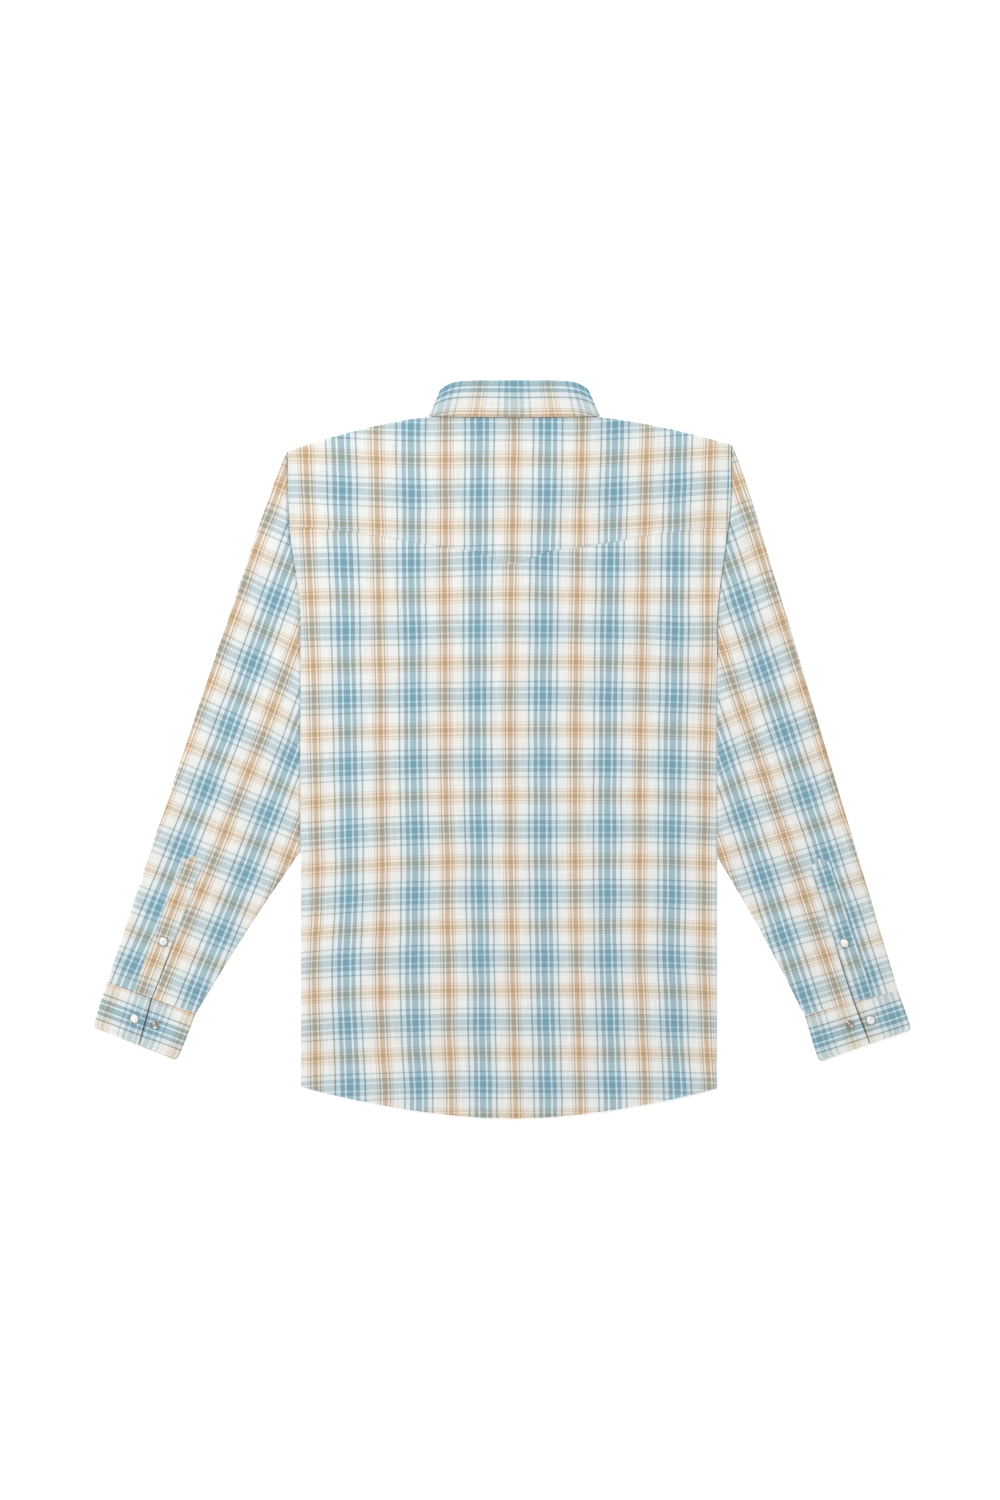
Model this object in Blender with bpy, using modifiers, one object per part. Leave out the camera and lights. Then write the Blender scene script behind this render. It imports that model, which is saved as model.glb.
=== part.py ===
"""Button-up shirt with a western back yoke, laid flat with its back uppermost.

Sizes are in millimetres, as a cutter would write them, and become metres when a mesh is made.
The garment's own frame has x from the centre back towards the wearer's right, "down" from the
nape towards the hem, and height above the surface that the shirt lies on. Its front faces down.

Every tube of the garment (body, sleeves, cuffs, collar) lies as a flattened ring. An angle round
such a ring is 0 at one fold, 90 on the upper run, 180 at the other fold and 270 on the lower run.
"""

import math
from collections import namedtuple

import bmesh
import bpy

MM = 0.001

# Walls and gaps
CLOTH = 1.2             # one layer of shirting
LINED = 1.6             # collar and cuffs, with their interlining
GAP = 0.4               # between pieces that are sewn together
FOLD_GAP = 1.2          # between the middles of the two walls that meet at a fold
FOLD = 3.0              # how far a folded edge of the body takes to turn down

# Heights of the middle of each layer above the surface
FRONT_LEVEL = CLOTH / 2
SIDE_LEVEL = 4.6        # back panel beside its folded edges
BACK_CROWN = 1.7        # how much higher the back lies at its middle
SNAP_HEIGHT = 2.0
PLACKET_LEVEL = SNAP_HEIGHT + GAP + CLOTH / 2
UNDERLAP_LEVEL = PLACKET_LEVEL + CLOTH + GAP
COLLAR_UNDER_LEVEL = LINED / 2
FRONT_NECK_LEVEL = LINED + GAP + CLOTH / 2
NECK_RISE = 1.6         # how much the collar lifts the yoke round the neck
NECK_RISE_REACH = 95.0  # radius of that lift
OVER_COLLAR = (104.0, 132.0)    # half sizes of the ellipse where the fronts lie over the collar
NECK_FADE = 0.4         # how far past such an ellipse the lift fades, as a share of its size
PLACKET_MARGIN = 4.0    # how far past the placket a front stays level with it
PLACKET_EASE = 110.0    # how far a front takes to come down from the placket

# Body
BACK_LENGTH = 771.0     # nape to the lowest point of the hem
SIDE_LENGTH = 736.0     # nape level to the hem at the side folds
FRONT_TAIL = 27.0       # how much lower the front hem is at its middle than at the sides
HEM_POWER = 1.8         # 2 is a plain curve, and a smaller power a more pointed one
SHOULDER_POWER = 1.4    # how the shoulder steepens towards the sleeve
ARMPIT_DOWN = 280.0
SIDE_CLOSES = (268.0, 298.0)    # where the side folds close below the armpit
SHOULDER_CLOSES = 14.0  # how far from the neck point the shoulder fold takes to close
PLACKET_HALF = 17.5

# Back yoke
YOKE_SIDE = 122.0       # nape level to the yoke seam at the armholes
YOKE_DIP = 28.0         # the seam's slow dip towards the middle
YOKE_POINT = 13.0       # the sharper point at the centre back
YOKE_POINT_HALF = 40.0
YOKE_SPAN = 240.0

# Neck and collar
NECK_X = 2.5            # the collar lies a little to the right of the centre back
NECK_HALF = 89.5
NECK_BACK = 1.0         # how far the back neck seam stands above the neck points
NECK_DROP = 78.0        # nape to the front neck seam
STAND_FOLD_HALF = 78.5
STAND_FRONT = 33.0      # height of the stand at the centre front
LEAF_FOLD_HALF = 82.4
LEAF_EDGE_HALF = 94.0
FOLD_SIDE_UP = 25.7     # the fold line above the nape, at the neck sides
FOLD_RISE = 10.6        # how much higher the fold line is at the centre back
FOLD_POWER = 8          # how squarely the fold line turns down to the neck sides
FOLD_BUMP = 2.5         # how far the leaf rolls above the fold line
STAND_SHORT = 0.8       # how far the stand stops below it
LEAF_SIDE_UP = 0.8      # the leaf's outer edge above the nape, at the neck sides
LEAF_EDGE_DIP = 2.0     # how much lower that edge is at the centre back
STAND_UNDER_LEVELS = (3.2, 3.7)     # lower run of the stand, at its neck seam and fold line
STAND_BACK_LEVELS = (7.6, 9.8)      # upper run of the stand, likewise
LEAF_BACK_LEVELS = (12.9, 9.7)      # upper run of the leaf, at the fold line and outer edge
COLLAR_POINT = (42.0, 116.0)
LEAF_FRONT_ANGLE = 84.0
LEAF_BOW = 9.0          # how far the edge bows outwards on its way to the point
STAND_LAP = 2.1         # the right end of the stand lies this much above the left end
STAND_LAPS_FROM = 60.0  # the angle past the right fold where it starts to rise
COLLAR_STEP = 15.0
COLLAR_EASE = 15.0      # angle over which the collar's side folds turn

# Sleeves and cuffs
SLEEVE_TOP = 4.3
SLEEVE_EASE = 20.0
SLEEVE_STEP = 15.0
SLEEVE_HEAD = 4.5       # how far the sleeve head stands outside a straight line to the cuff
SLEEVE_HEAD_SHARE = 0.03    # share of the sleeve over which the head fills out
UNDERARM_HOLLOW = 2.5   # how far the underarm fold curves in on its way to the cuff
SLIT_HALF = 1.2
SLIT_RISE = 0.86        # the sleeve slit opens from this share of the sleeve to the cuff
SLIT_EASE = 0.06        # share of the sleeve over which it opens
SLIT_SPREAD = 0.5       # how much further each lip stands apart at the cuff's edge
SLIT_SIGHT = 0.7        # share of the sleeve that the slit's line is drawn from
CUFF_TOP = 4.8
CUFF_GAP = 0.6
CUFF_CORNER = 6.0
SLEEVE_PLACKET_LENGTH = 163.0
SLEEVE_PLACKET_WIDTH = 22.0
SLEEVE_PLACKET_POINT = 8.0
SLEEVE_PLACKET_SLANT = -0.6    # its lower edge follows the cuff seam

# Snaps
SNAP_RADIUS = 5.3
STUD_RADIUS = 4.7
SNAP_STEPS = 16
FRONT_SNAPS = 7
FRONT_SNAP_FIRST = 112.0    # nape to the first snap below the collar
FRONT_SNAP_PITCH = 92.0
COLLAR_SNAP_DOWN = 61.0

# The garment's x and down at the middle of the box that it fills
BOX_CENTRE = (-10.9, 365.8)

Side = namedtuple(
    "Side",
    "name sign shoulder_half side_half swing_from swing_to shoulder_drop "
    "seam_out seam_in edge_out edge_in leaves_body slit_shares placket_snap cuff_snap cuff_stud",
)
# Half widths are to the outer face of the cloth. Each cuff corner is (distance out, down).
# The slit's line lies at three shares of the way out across the sleeve: at its sight, at the cuff
# seam and at the cuff's edge. A snap is placed by how far up from the cuff seam it is and how far
# out from the slit.
LEFT = Side(
    "left", -1, 246.4, 232.6, 95.0, 225.0, 37.0,
    (445.8, 621.9), (347.3, 655.6), (461.2, 670.6), (367.8, 707.4), 478.0,
    (0.552, 0.492, 0.45), (62.8, 10.2), (-27.7, 9.7), (-26.1, -13.0),
)
RIGHT = Side(
    "right", 1, 240.9, 225.3, 75.0, 235.0, 30.0,
    (424.4, 631.0), (321.2, 657.8), (439.4, 673.4), (336.8, 709.0), 484.0,
    (0.585, 0.53, 0.556), (65.3, 9.6), (-24.2, 11.0), (-21.0, -12.3),
)

PLAID = (0.62, 0.74, 0.77)
PLAID_DARK = (0.50, 0.66, 0.72)
PLAID_LIGHT = (0.74, 0.80, 0.80)
PEARL = (0.86, 0.86, 0.84)
STEEL = (0.62, 0.62, 0.61)
CLOTH_ROUGHNESS = 0.85
SNAP_ROUGHNESS = 0.25


# --- small sums ---------------------------------------------------------------------------

def mix(a, b, t):
    """The value t of the way from a to b."""
    return a + (b - a) * t


def mix_pair(a, b, t):
    """The point t of the way from a to b."""
    return mix(a[0], b[0], t), mix(a[1], b[1], t)


def smooth(t):
    """0 below 0, 1 above 1 and an S between them."""
    t = min(max(t, 0.0), 1.0)
    return t * t * (3.0 - 2.0 * t)


def turn(angle, ease):
    """Height round a flattened ring: 1 on the upper run, -1 on the lower, easing over the folds."""
    rise = math.sin(math.radians(angle))
    from_fold = math.degrees(math.asin(min(abs(rise), 1.0)))
    return math.copysign(math.sin(math.radians(90.0 * min(from_fold / ease, 1.0))), rise)


def quarter(amount):
    """The angle in radians that is this share of a quarter turn, with none below 0."""
    return math.radians(90.0 * max(amount, 0.0))


# --- outlines -----------------------------------------------------------------------------

def side_half(side, down):
    """Half width of the body at one side: the armhole, then the side fold."""
    swing = smooth((down - side.swing_from) / (side.swing_to - side.swing_from))
    return mix(side.shoulder_half, side.side_half, swing)


def hem_down(x, tail):
    """A shirt-tail hem, as much as the tail lower at its middle than at the side folds."""
    return SIDE_LENGTH + tail * (1.0 - min(abs(x) / LEFT.side_half, 1.0) ** HEM_POWER)


def yoke_down(x):
    """The yoke seam: a slow dip from the armholes and a point at the centre back."""
    dip = YOKE_DIP * smooth(1.0 - abs(x) / YOKE_SPAN)
    return YOKE_SIDE + dip + YOKE_POINT * max(0.0, 1.0 - abs(x) / YOKE_POINT_HALF)


def shoulder_down(side, x):
    """The shoulder fold, which falls faster towards the sleeve."""
    reach = (abs(x) - NECK_HALF) / (side.shoulder_half - NECK_HALF)
    return GAP + side.shoulder_drop * max(reach, 0.0) ** SHOULDER_POWER


def round_neck(column):
    """How far round the neck a column is: 0 at the neck point and 1 at the centre front."""
    return math.sqrt(max(0.0, 1.0 - column * column))


def ring_across(angle):
    """Share of the collar's half width, held back on the lower run until the fold has turned."""
    plain = math.cos(math.radians(angle))
    ease = math.cos(math.radians(COLLAR_EASE))
    if math.sin(math.radians(angle)) >= 0.0 or abs(plain) > ease:
        return plain
    return math.copysign(ease * math.cos(front_turn(angle)), plain)


def front_turn(angle):
    """Angle in radians round the front neck: 0 by the side folds, a quarter turn in front."""
    below = math.degrees(math.asin(max(0.0, -math.sin(math.radians(angle)))))
    return quarter((below - COLLAR_EASE) / (90.0 - COLLAR_EASE))


# --- the body -----------------------------------------------------------------------------

def side_of(column):
    """The side of the body that a column is on."""
    return LEFT if column < 0 else RIGHT


def column_x(column, down, middle):
    """x of a body column: 0 at the middle, 1 at the neck point, 2 by the fold, 3 at its end."""
    side = side_of(column)
    reach = abs(column)
    neck = side.sign * (NECK_HALF * math.cos(math.radians(COLLAR_EASE)) + GAP) + NECK_X
    fold = side.sign * (side_half(side, down) - CLOTH / 2 - FOLD)
    if reach <= 1.0:
        return mix(middle, neck, reach)
    flat = mix(neck, fold, min(reach - 1.0, 1.0))
    return flat + side.sign * FOLD * math.sin(quarter(reach - 2.0))


def row_down(row, bottom, top):
    """down of a body row: 0 at the lower edge, 1 by the shoulder fold, 2 at its end."""
    flat = mix(bottom, top + FOLD, min(row, 1.0))
    return flat - FOLD * math.sin(quarter(row - 1.0))


def near_neck(x, down, across, deep):
    """1 round the neck, falling to 0 outside an ellipse of these half sizes."""
    return 1.0 - smooth((math.hypot((x - NECK_X) / across, down / deep) - 1.0) / NECK_FADE)


def back_level(x, down):
    """Height of the back: a slight crown, lifted round the neck by the collar."""
    crown = 1.0 - min(abs(x) / LEFT.side_half, 1.0) ** 2
    lift = NECK_RISE * near_neck(x, down, NECK_RISE_REACH, NECK_RISE_REACH)
    return SIDE_LEVEL + BACK_CROWN * crown + lift


def front_level(x, down, centre_level):
    """Height of a front: it rises to the placket at its edge, and over the collar's points."""
    from_edge = smooth((abs(x - NECK_X) - PLACKET_HALF - PLACKET_MARGIN) / PLACKET_EASE)
    at_edge = mix(centre_level, FRONT_LEVEL, from_edge)
    over_collar = mix(FRONT_LEVEL, FRONT_NECK_LEVEL, near_neck(x, down, *OVER_COLLAR))
    return max(at_edge, over_collar)


def edge_drop(column, row, x, down):
    """How far a folded edge has turned towards the layer below or above it, from 0 to 1."""
    side_closed = smooth((down - SIDE_CLOSES[0]) / (SIDE_CLOSES[1] - SIDE_CLOSES[0]))
    side_drop = side_closed * (1.0 - math.cos(quarter(abs(column) - 2.0)))
    beside_neck = smooth((abs(x - NECK_X) - NECK_HALF) / SHOULDER_CLOSES)
    shoulder_drop = beside_neck * (1.0 - math.cos(quarter(row - 1.0)))
    return max(side_drop, shoulder_drop)


def body_point(column, row, bottom, top, level, facing):
    """A point of a body panel; facing is 1 for the back, which turns down, and -1 for a front."""
    middle = 0.0 if facing > 0 else NECK_X
    down = row_down(row, bottom(column), top(column))
    x = column_x(column, down, middle)
    seam_level = (SIDE_LEVEL + FRONT_LEVEL + facing * FOLD_GAP) / 2
    return x, down, mix(level(x, down), seam_level, edge_drop(column, row, x, down))


def back_hem(column):
    """The back hem, under a column."""
    return hem_down(column_x(column, SIDE_LENGTH, 0.0), BACK_LENGTH - SIDE_LENGTH)


def front_hem(column):
    """The front hem, under a column."""
    return hem_down(column_x(column, SIDE_LENGTH, NECK_X), FRONT_TAIL)


def yoke_seam(column):
    """The yoke seam, at a column."""
    return yoke_down(column_x(column, YOKE_SIDE, 0.0))


def yoke_top(column):
    """The yoke's upper edge: the back neck seam, then the shoulder fold."""
    if abs(column) <= 1.0:
        return GAP - NECK_BACK * round_neck(column)
    return shoulder_down(side_of(column), column_x(column, 0.0, 0.0))


def front_top(column):
    """A front's upper edge: the neck seam, then the shoulder fold."""
    if abs(column) <= 1.0:
        return GAP + NECK_DROP * round_neck(column)
    return shoulder_down(side_of(column), column_x(column, 0.0, NECK_X))


def back_panel_point(column, row):
    """A point of the back below the yoke, whose upper edge isn't folded."""
    return body_point(
        column, row, back_hem, lambda edge: yoke_seam(edge) + GAP - FOLD, back_level, 1
    )


def yoke_point(column, row):
    """A point of the back yoke."""
    return body_point(column, row, yoke_seam, yoke_top, back_level, 1)


def left_front_point(column, row):
    """A point of the left front, whose edge is sewn to the placket."""
    return body_point(
        column, row, front_hem, front_top,
        lambda x, down: front_level(x, down, PLACKET_LEVEL), -1,
    )


def right_front_point(column, row):
    """A point of the right front, whose edge lies over the placket."""
    return body_point(
        column, row, front_hem, front_top,
        lambda x, down: front_level(x, down, UNDERLAP_LEVEL), -1,
    )


def placket_point(column, row):
    """A point of the front placket, a straight band from the neck seam to the hem."""
    x = column_x(column, 0.0, NECK_X)
    return x, mix(front_hem(column), front_top(column), row), PLACKET_LEVEL


# --- sleeves and cuffs --------------------------------------------------------------------

def sleeve_outer(side, along):
    """Outer fold of the sleeve: a straight line to the cuff with a fuller sleeve head."""
    tip = side.shoulder_half + GAP, side.shoulder_drop + 1.0
    out, down = mix_pair(tip, side.seam_out, along)
    head = SLEEVE_HEAD * (1.0 - math.exp(-along / SLEEVE_HEAD_SHARE))
    return out + head * (1.0 - along) - CLOTH / 2, down


def underarm_corners(side):
    """The armpit, where the underarm fold leaves the body, and its end at the cuff seam."""
    beside = side.side_half + GAP + CLOTH / 2
    seam = side.seam_in[0] + CLOTH / 2, side.seam_in[1]
    return (beside, ARMPIT_DOWN), (beside, side.leaves_body), seam


def underarm_share(side):
    """Share of the underarm fold that lies beside the body."""
    armpit, leaves, seam = underarm_corners(side)
    beside = math.dist(armpit, leaves)
    return beside / (beside + math.dist(leaves, seam))


def sleeve_inner(side, along):
    """Underarm fold of the sleeve: beside the body from the armpit, then away to the cuff."""
    armpit, leaves, seam = underarm_corners(side)
    share = underarm_share(side)
    if along < share:
        return mix_pair(armpit, leaves, along / share)
    free = (along - share) / (1.0 - share)
    out, down = mix_pair(leaves, seam, free)
    return out + UNDERARM_HOLLOW * math.sin(math.pi * free), down


def slit_half(along):
    """Half width of the slit above the cuff."""
    return SLIT_HALF * smooth((along - SLIT_RISE) / SLIT_EASE)


def slit_share(side, along):
    """Share of the way out across the sleeve where the slit's line lies."""
    high, seam, _ = side.slit_shares
    if along < SLIT_SIGHT:
        return mix(0.5, high, smooth(along / SLIT_SIGHT))
    return mix(high, seam, (along - SLIT_SIGHT) / (1.0 - SLIT_SIGHT))


def ring_point(outer, inner, angle, slit_at, half_slit):
    """Plan position round a flattened ring: 90 degrees lies at the slit's share, held clear of it."""
    share = (1.0 + math.cos(math.radians(angle))) / 2
    share += (slit_at - 0.5) * 4.0 * share * (1.0 - share)
    out, down = mix_pair(inner, outer, share)
    if half_slit and abs(angle - 90.0) in (0.0, 360.0):
        length = math.dist(outer, inner)
        away = half_slit / length * (-1.0 if angle == 90.0 else 1.0)
        out += (outer[0] - inner[0]) * away
        down += (outer[1] - inner[1]) * away
    return out, down


def sleeve_point(side, angle, along):
    """A point of the sleeve tube, whose first ring follows the armhole."""
    outer = sleeve_outer(side, along)
    inner = sleeve_inner(side, along)
    out, down = ring_point(outer, inner, angle, slit_share(side, along), slit_half(along))
    beside_body = side_half(side, down) + GAP
    if along == 0.0:
        out = beside_body
    elif along < 1.0:
        out = max(out, beside_body)
    height = mix(CLOTH / 2, SLEEVE_TOP, (1.0 + turn(angle, SLEEVE_EASE)) / 2)
    return side.sign * out, down, height


def cuff_point(side, angle, along):
    """A point of the cuff, a band open at the slit with rounded lower corners."""
    depth = math.dist(side.seam_out, side.edge_out)
    start = CUFF_GAP / depth
    share = mix(start, 1.0, along)
    outer = mix_pair(side.seam_out, side.edge_out, share)
    inner = mix_pair(side.seam_in, side.edge_in, share)
    into_corner = max(0.0, CUFF_CORNER - (1.0 - along) * depth)
    inset = CUFF_CORNER - math.sqrt(CUFF_CORNER ** 2 - into_corner ** 2) + LINED / 2
    inset_share = inset / math.dist(outer, inner)
    outer, inner = mix_pair(outer, inner, inset_share), mix_pair(inner, outer, inset_share)
    slit_at = mix(side.slit_shares[1], side.slit_shares[2], share)
    out, down = ring_point(outer, inner, angle, slit_at, SLIT_HALF + SLIT_SPREAD * along)
    height = mix(LINED / 2, CUFF_TOP, (1.0 + turn(angle, SLEEVE_EASE)) / 2)
    return side.sign * out, down, height


def slit_frame(side):
    """The slit's foot on the cuff seam, and unit steps up the sleeve and out from the slit."""
    high_share, seam_share, _ = side.slit_shares
    foot = mix_pair(side.seam_in, side.seam_out, seam_share)
    high = mix_pair(sleeve_inner(side, SLIT_SIGHT), sleeve_outer(side, SLIT_SIGHT), high_share)
    length = math.dist(foot, high)
    up = (high[0] - foot[0]) / length, (high[1] - foot[1]) / length
    return foot, up, (-up[1], up[0])


def on_sleeve(side, up_by, out_by, height):
    """A point of the sleeve's top, up from the cuff seam and out from the slit."""
    foot, up, out = slit_frame(side)
    return (
        side.sign * (foot[0] + up[0] * up_by + out[0] * out_by),
        foot[1] + up[1] * up_by + out[1] * out_by,
        height,
    )


def sleeve_placket_point(side, across, row):
    """A point of the sleeve placket, a strip with a pointed top that lies on the sleeve."""
    point = SLEEVE_PLACKET_POINT * abs(2.0 * across - 1.0)
    slant = GAP + SLEEVE_PLACKET_SLANT * across
    up_by = mix(slant, SLEEVE_PLACKET_LENGTH - point, row)
    out_by = SLEEVE_PLACKET_WIDTH * across
    return on_sleeve(side, up_by, out_by, SLEEVE_TOP + CLOTH + GAP)


# --- collar -------------------------------------------------------------------------------

def placket_share():
    """Half the placket's width as a share of the body's half width at the neck."""
    return PLACKET_HALF / (NECK_HALF * math.cos(math.radians(COLLAR_EASE)) + GAP)


def stand_end_angle():
    """How far past a side fold the stand runs, to the far edge of the placket."""
    around = math.degrees(math.acos(placket_share())) / 90.0
    return 180.0 - mix(COLLAR_EASE, 90.0, around)


def fold_line(angle):
    """Height above the nape of the collar's fold line."""
    across = math.cos(math.radians(angle))
    if math.sin(math.radians(angle)) >= 0.0:
        return FOLD_SIDE_UP + FOLD_RISE * (1.0 - across ** FOLD_POWER)
    centre_front = STAND_FRONT - NECK_DROP
    return mix(FOLD_SIDE_UP, centre_front, math.sin(front_turn(angle)))


def neck_line(angle):
    """Height above the nape of the neck seam."""
    rise = math.sin(math.radians(angle))
    return NECK_BACK * rise if rise >= 0.0 else -NECK_DROP * math.sin(front_turn(angle))


def leaf_edge(angle):
    """x and height above the nape of the leaf's outer edge, which ends in the front points."""
    across = ring_across(angle)
    rise = math.sin(math.radians(angle))
    if rise >= 0.0:
        return LEAF_EDGE_HALF * across, LEAF_SIDE_UP - LEAF_EDGE_DIP * rise
    front = front_turn(angle) / front_turn(-LEAF_FRONT_ANGLE)
    beside = LEAF_EDGE_HALF * math.cos(math.radians(COLLAR_EASE))
    bow = LEAF_BOW * math.sin(math.pi * front)
    out = mix(beside, COLLAR_POINT[0], front) + bow if front else LEAF_EDGE_HALF * abs(across)
    return math.copysign(out, across), mix(LEAF_SIDE_UP, -COLLAR_POINT[1], front)


def roll_lean(angle):
    """How far the leaf's roll leans in towards the neck: square to the fold line in front."""
    below = math.asin(max(0.0, -math.sin(math.radians(angle))))
    return min(4.0 * below, math.pi / 2 - front_turn(angle))


def stand_point(angle, rise):
    """A point of the stand, from the neck seam at rise 0 to just short of the fold line at 1."""
    lean = roll_lean(angle)
    half = mix(NECK_HALF, STAND_FOLD_HALF + STAND_SHORT * math.sin(lean), rise)
    up = mix(neck_line(angle), fold_line(angle) - STAND_SHORT * math.cos(lean), rise)
    low = mix(STAND_UNDER_LEVELS[0], STAND_UNDER_LEVELS[1], rise)
    high = mix(STAND_BACK_LEVELS[0], STAND_BACK_LEVELS[1], rise)
    height = mix(low, high, (1.0 + turn(angle, COLLAR_EASE)) / 2)
    height += STAND_LAP * smooth((-STAND_LAPS_FROM - angle) / COLLAR_STEP)
    return NECK_X + half * ring_across(angle), -up, height


def leaf_point(angle, along):
    """A point of the leaf: it rolls over the fold line (along 0 to 1), then falls (1 to 2)."""
    edge_x, edge_up = leaf_edge(angle)
    roll = math.pi * min(along, 1.0)
    rolled = (1.0 - math.cos(roll)) / 2
    fallen = max(along - 1.0, 0.0)
    bump = FOLD_BUMP * math.sin(roll)
    lean = roll_lean(angle)
    half = mix(STAND_FOLD_HALF, LEAF_FOLD_HALF, rolled)
    inward = math.copysign(bump * math.sin(lean), math.cos(math.radians(angle)))
    x = mix(half * ring_across(angle) - inward, edge_x, fallen)
    up = mix(fold_line(angle) + bump * math.cos(lean), edge_up, fallen)
    high = mix(mix(STAND_BACK_LEVELS[1], LEAF_BACK_LEVELS[0], rolled), LEAF_BACK_LEVELS[1], fallen)
    low = mix(STAND_UNDER_LEVELS[1], COLLAR_UNDER_LEVEL, rolled)
    height = mix(low, high, (1.0 + turn(angle, COLLAR_EASE)) / 2)
    return NECK_X + x, -up, height


# --- building -----------------------------------------------------------------------------

def clear_scene():
    """Removes whatever objects the scene holds."""
    for item in list(bpy.data.objects):
        bpy.data.objects.remove(item, do_unlink=True)


def make_material(name, colour, roughness, metallic=0.0):
    """A Principled material of one colour."""
    material = bpy.data.materials.new(name)
    material.use_nodes = True
    shader = material.node_tree.nodes["Principled BSDF"]
    shader.inputs["Base Color"].default_value = (*colour, 1.0)
    shader.inputs["Roughness"].default_value = roughness
    shader.inputs["Metallic"].default_value = metallic
    return material


def add_object(name, mesh, place):
    """Adds an object under the garment's empty, in the shirt's collection."""
    item = bpy.data.objects.new(name, mesh)
    place["collection"].objects.link(item)
    item.parent = place["frame"]
    return item


def add_cloth(name, columns, rows, point, wall, colour, place):
    """A cloth piece: a grid whose points are placed by a function, then given its wall."""
    cells = bmesh.new()
    across, along = len(columns) - 1, len(rows) - 1
    bmesh.ops.create_grid(cells, x_segments=across, y_segments=along, size=1.0)
    for corner in cells.verts:
        column = columns[round((corner.co.x + 1.0) / 2.0 * across)]
        row = rows[round((corner.co.y + 1.0) / 2.0 * along)]
        x, down, height = point(column, row)
        corner.co = x * MM, -down * MM, height * MM
    bmesh.ops.remove_doubles(cells, verts=cells.verts, dist=0.01 * MM)
    bmesh.ops.recalc_face_normals(cells, faces=cells.faces)
    mesh = bpy.data.meshes.new(name)
    cells.to_mesh(mesh)
    cells.free()
    mesh.shade_smooth()
    mesh.set_sharp_from_angle(angle=math.radians(40.0))
    mesh.materials.append(make_material(name, colour, CLOTH_ROUGHNESS))
    item = add_object(name, mesh, place)
    shell = item.modifiers.new("wall", "SOLIDIFY")
    shell.thickness = wall * MM
    shell.offset = 0.0
    return item


def add_turned(name, profile, spot, face_down, colour, metallic, place):
    """A turned piece: its profile of (radius, height) rows, spun about the vertical."""
    outline = bmesh.new()
    points = [outline.verts.new((radius * MM, 0.0, height * MM)) for radius, height in profile]
    for first, second in zip(points, points[1:]):
        outline.edges.new((first, second))
    mesh = bpy.data.meshes.new(name)
    outline.to_mesh(mesh)
    outline.free()
    mesh.materials.append(make_material(name, colour, SNAP_ROUGHNESS, metallic))
    item = add_object(name, mesh, place)
    x, down, height = spot
    item.location = x * MM, -down * MM, height * MM
    item.rotation_euler.x = math.pi if face_down else 0.0
    spin = item.modifiers.new("turned", "SCREW")
    spin.steps = SNAP_STEPS
    spin.render_steps = SNAP_STEPS
    spin.use_merge_vertices = True
    spin.merge_threshold = 0.01 * MM
    return item


def snap_profile():
    """Pearl snap cap, top to bottom: a domed pearl inside a rolled metal rim."""
    return [
        (0.0, SNAP_HEIGHT),
        (SNAP_RADIUS * 0.55, SNAP_HEIGHT * 0.88),
        (SNAP_RADIUS * 0.86, SNAP_HEIGHT * 0.62),
        (SNAP_RADIUS, SNAP_HEIGHT * 0.32),
        (SNAP_RADIUS, 0.0),
        (0.0, 0.0),
    ]


def stud_profile():
    """Snap stud, top to bottom: a post standing in a dished ring."""
    return [
        (0.0, 2.2),
        (1.6, 2.0),
        (1.9, 1.5),
        (1.5, 0.7),
        (3.1, 0.7),
        (3.9, 1.3),
        (STUD_RADIUS, 0.9),
        (STUD_RADIUS, 0.0),
        (0.0, 0.0),
    ]


# --- the pieces ---------------------------------------------------------------------------

def steps(first, last, count):
    """Evenly spaced values from first to last, in this many steps."""
    return [mix(first, last, step / count) for step in range(count + 1)]


def collar_angles(reach):
    """Angles round the collar from this far past one side fold to as far past the other."""
    half_turns = [-COLLAR_EASE / 2, COLLAR_EASE / 2]
    whole = [COLLAR_STEP * step for step in range(-6, 19)]
    whole += [-LEAF_FRONT_ANGLE, 180.0 + LEAF_FRONT_ANGLE]
    whole += [fold + half for fold in (0.0, 180.0) for half in half_turns]
    inside = sorted(angle for angle in whole if -reach < angle < 180.0 + reach)
    return [-reach, *inside, 180.0 + reach]


def placket_columns():
    """Columns across the placket, at the collar's own angles."""
    edge, leaf = placket_share(), math.cos(front_turn(-LEAF_FRONT_ANGLE))
    return [-edge, -leaf, 0.0, leaf, edge]


def neck_columns():
    """Front columns at the collar's own angles, from the placket's edge to the neck point."""
    angles = [-90.0 + COLLAR_STEP * step for step in range(1, 6)]
    return [placket_share(), *(math.cos(front_turn(angle)) for angle in angles)]


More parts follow.
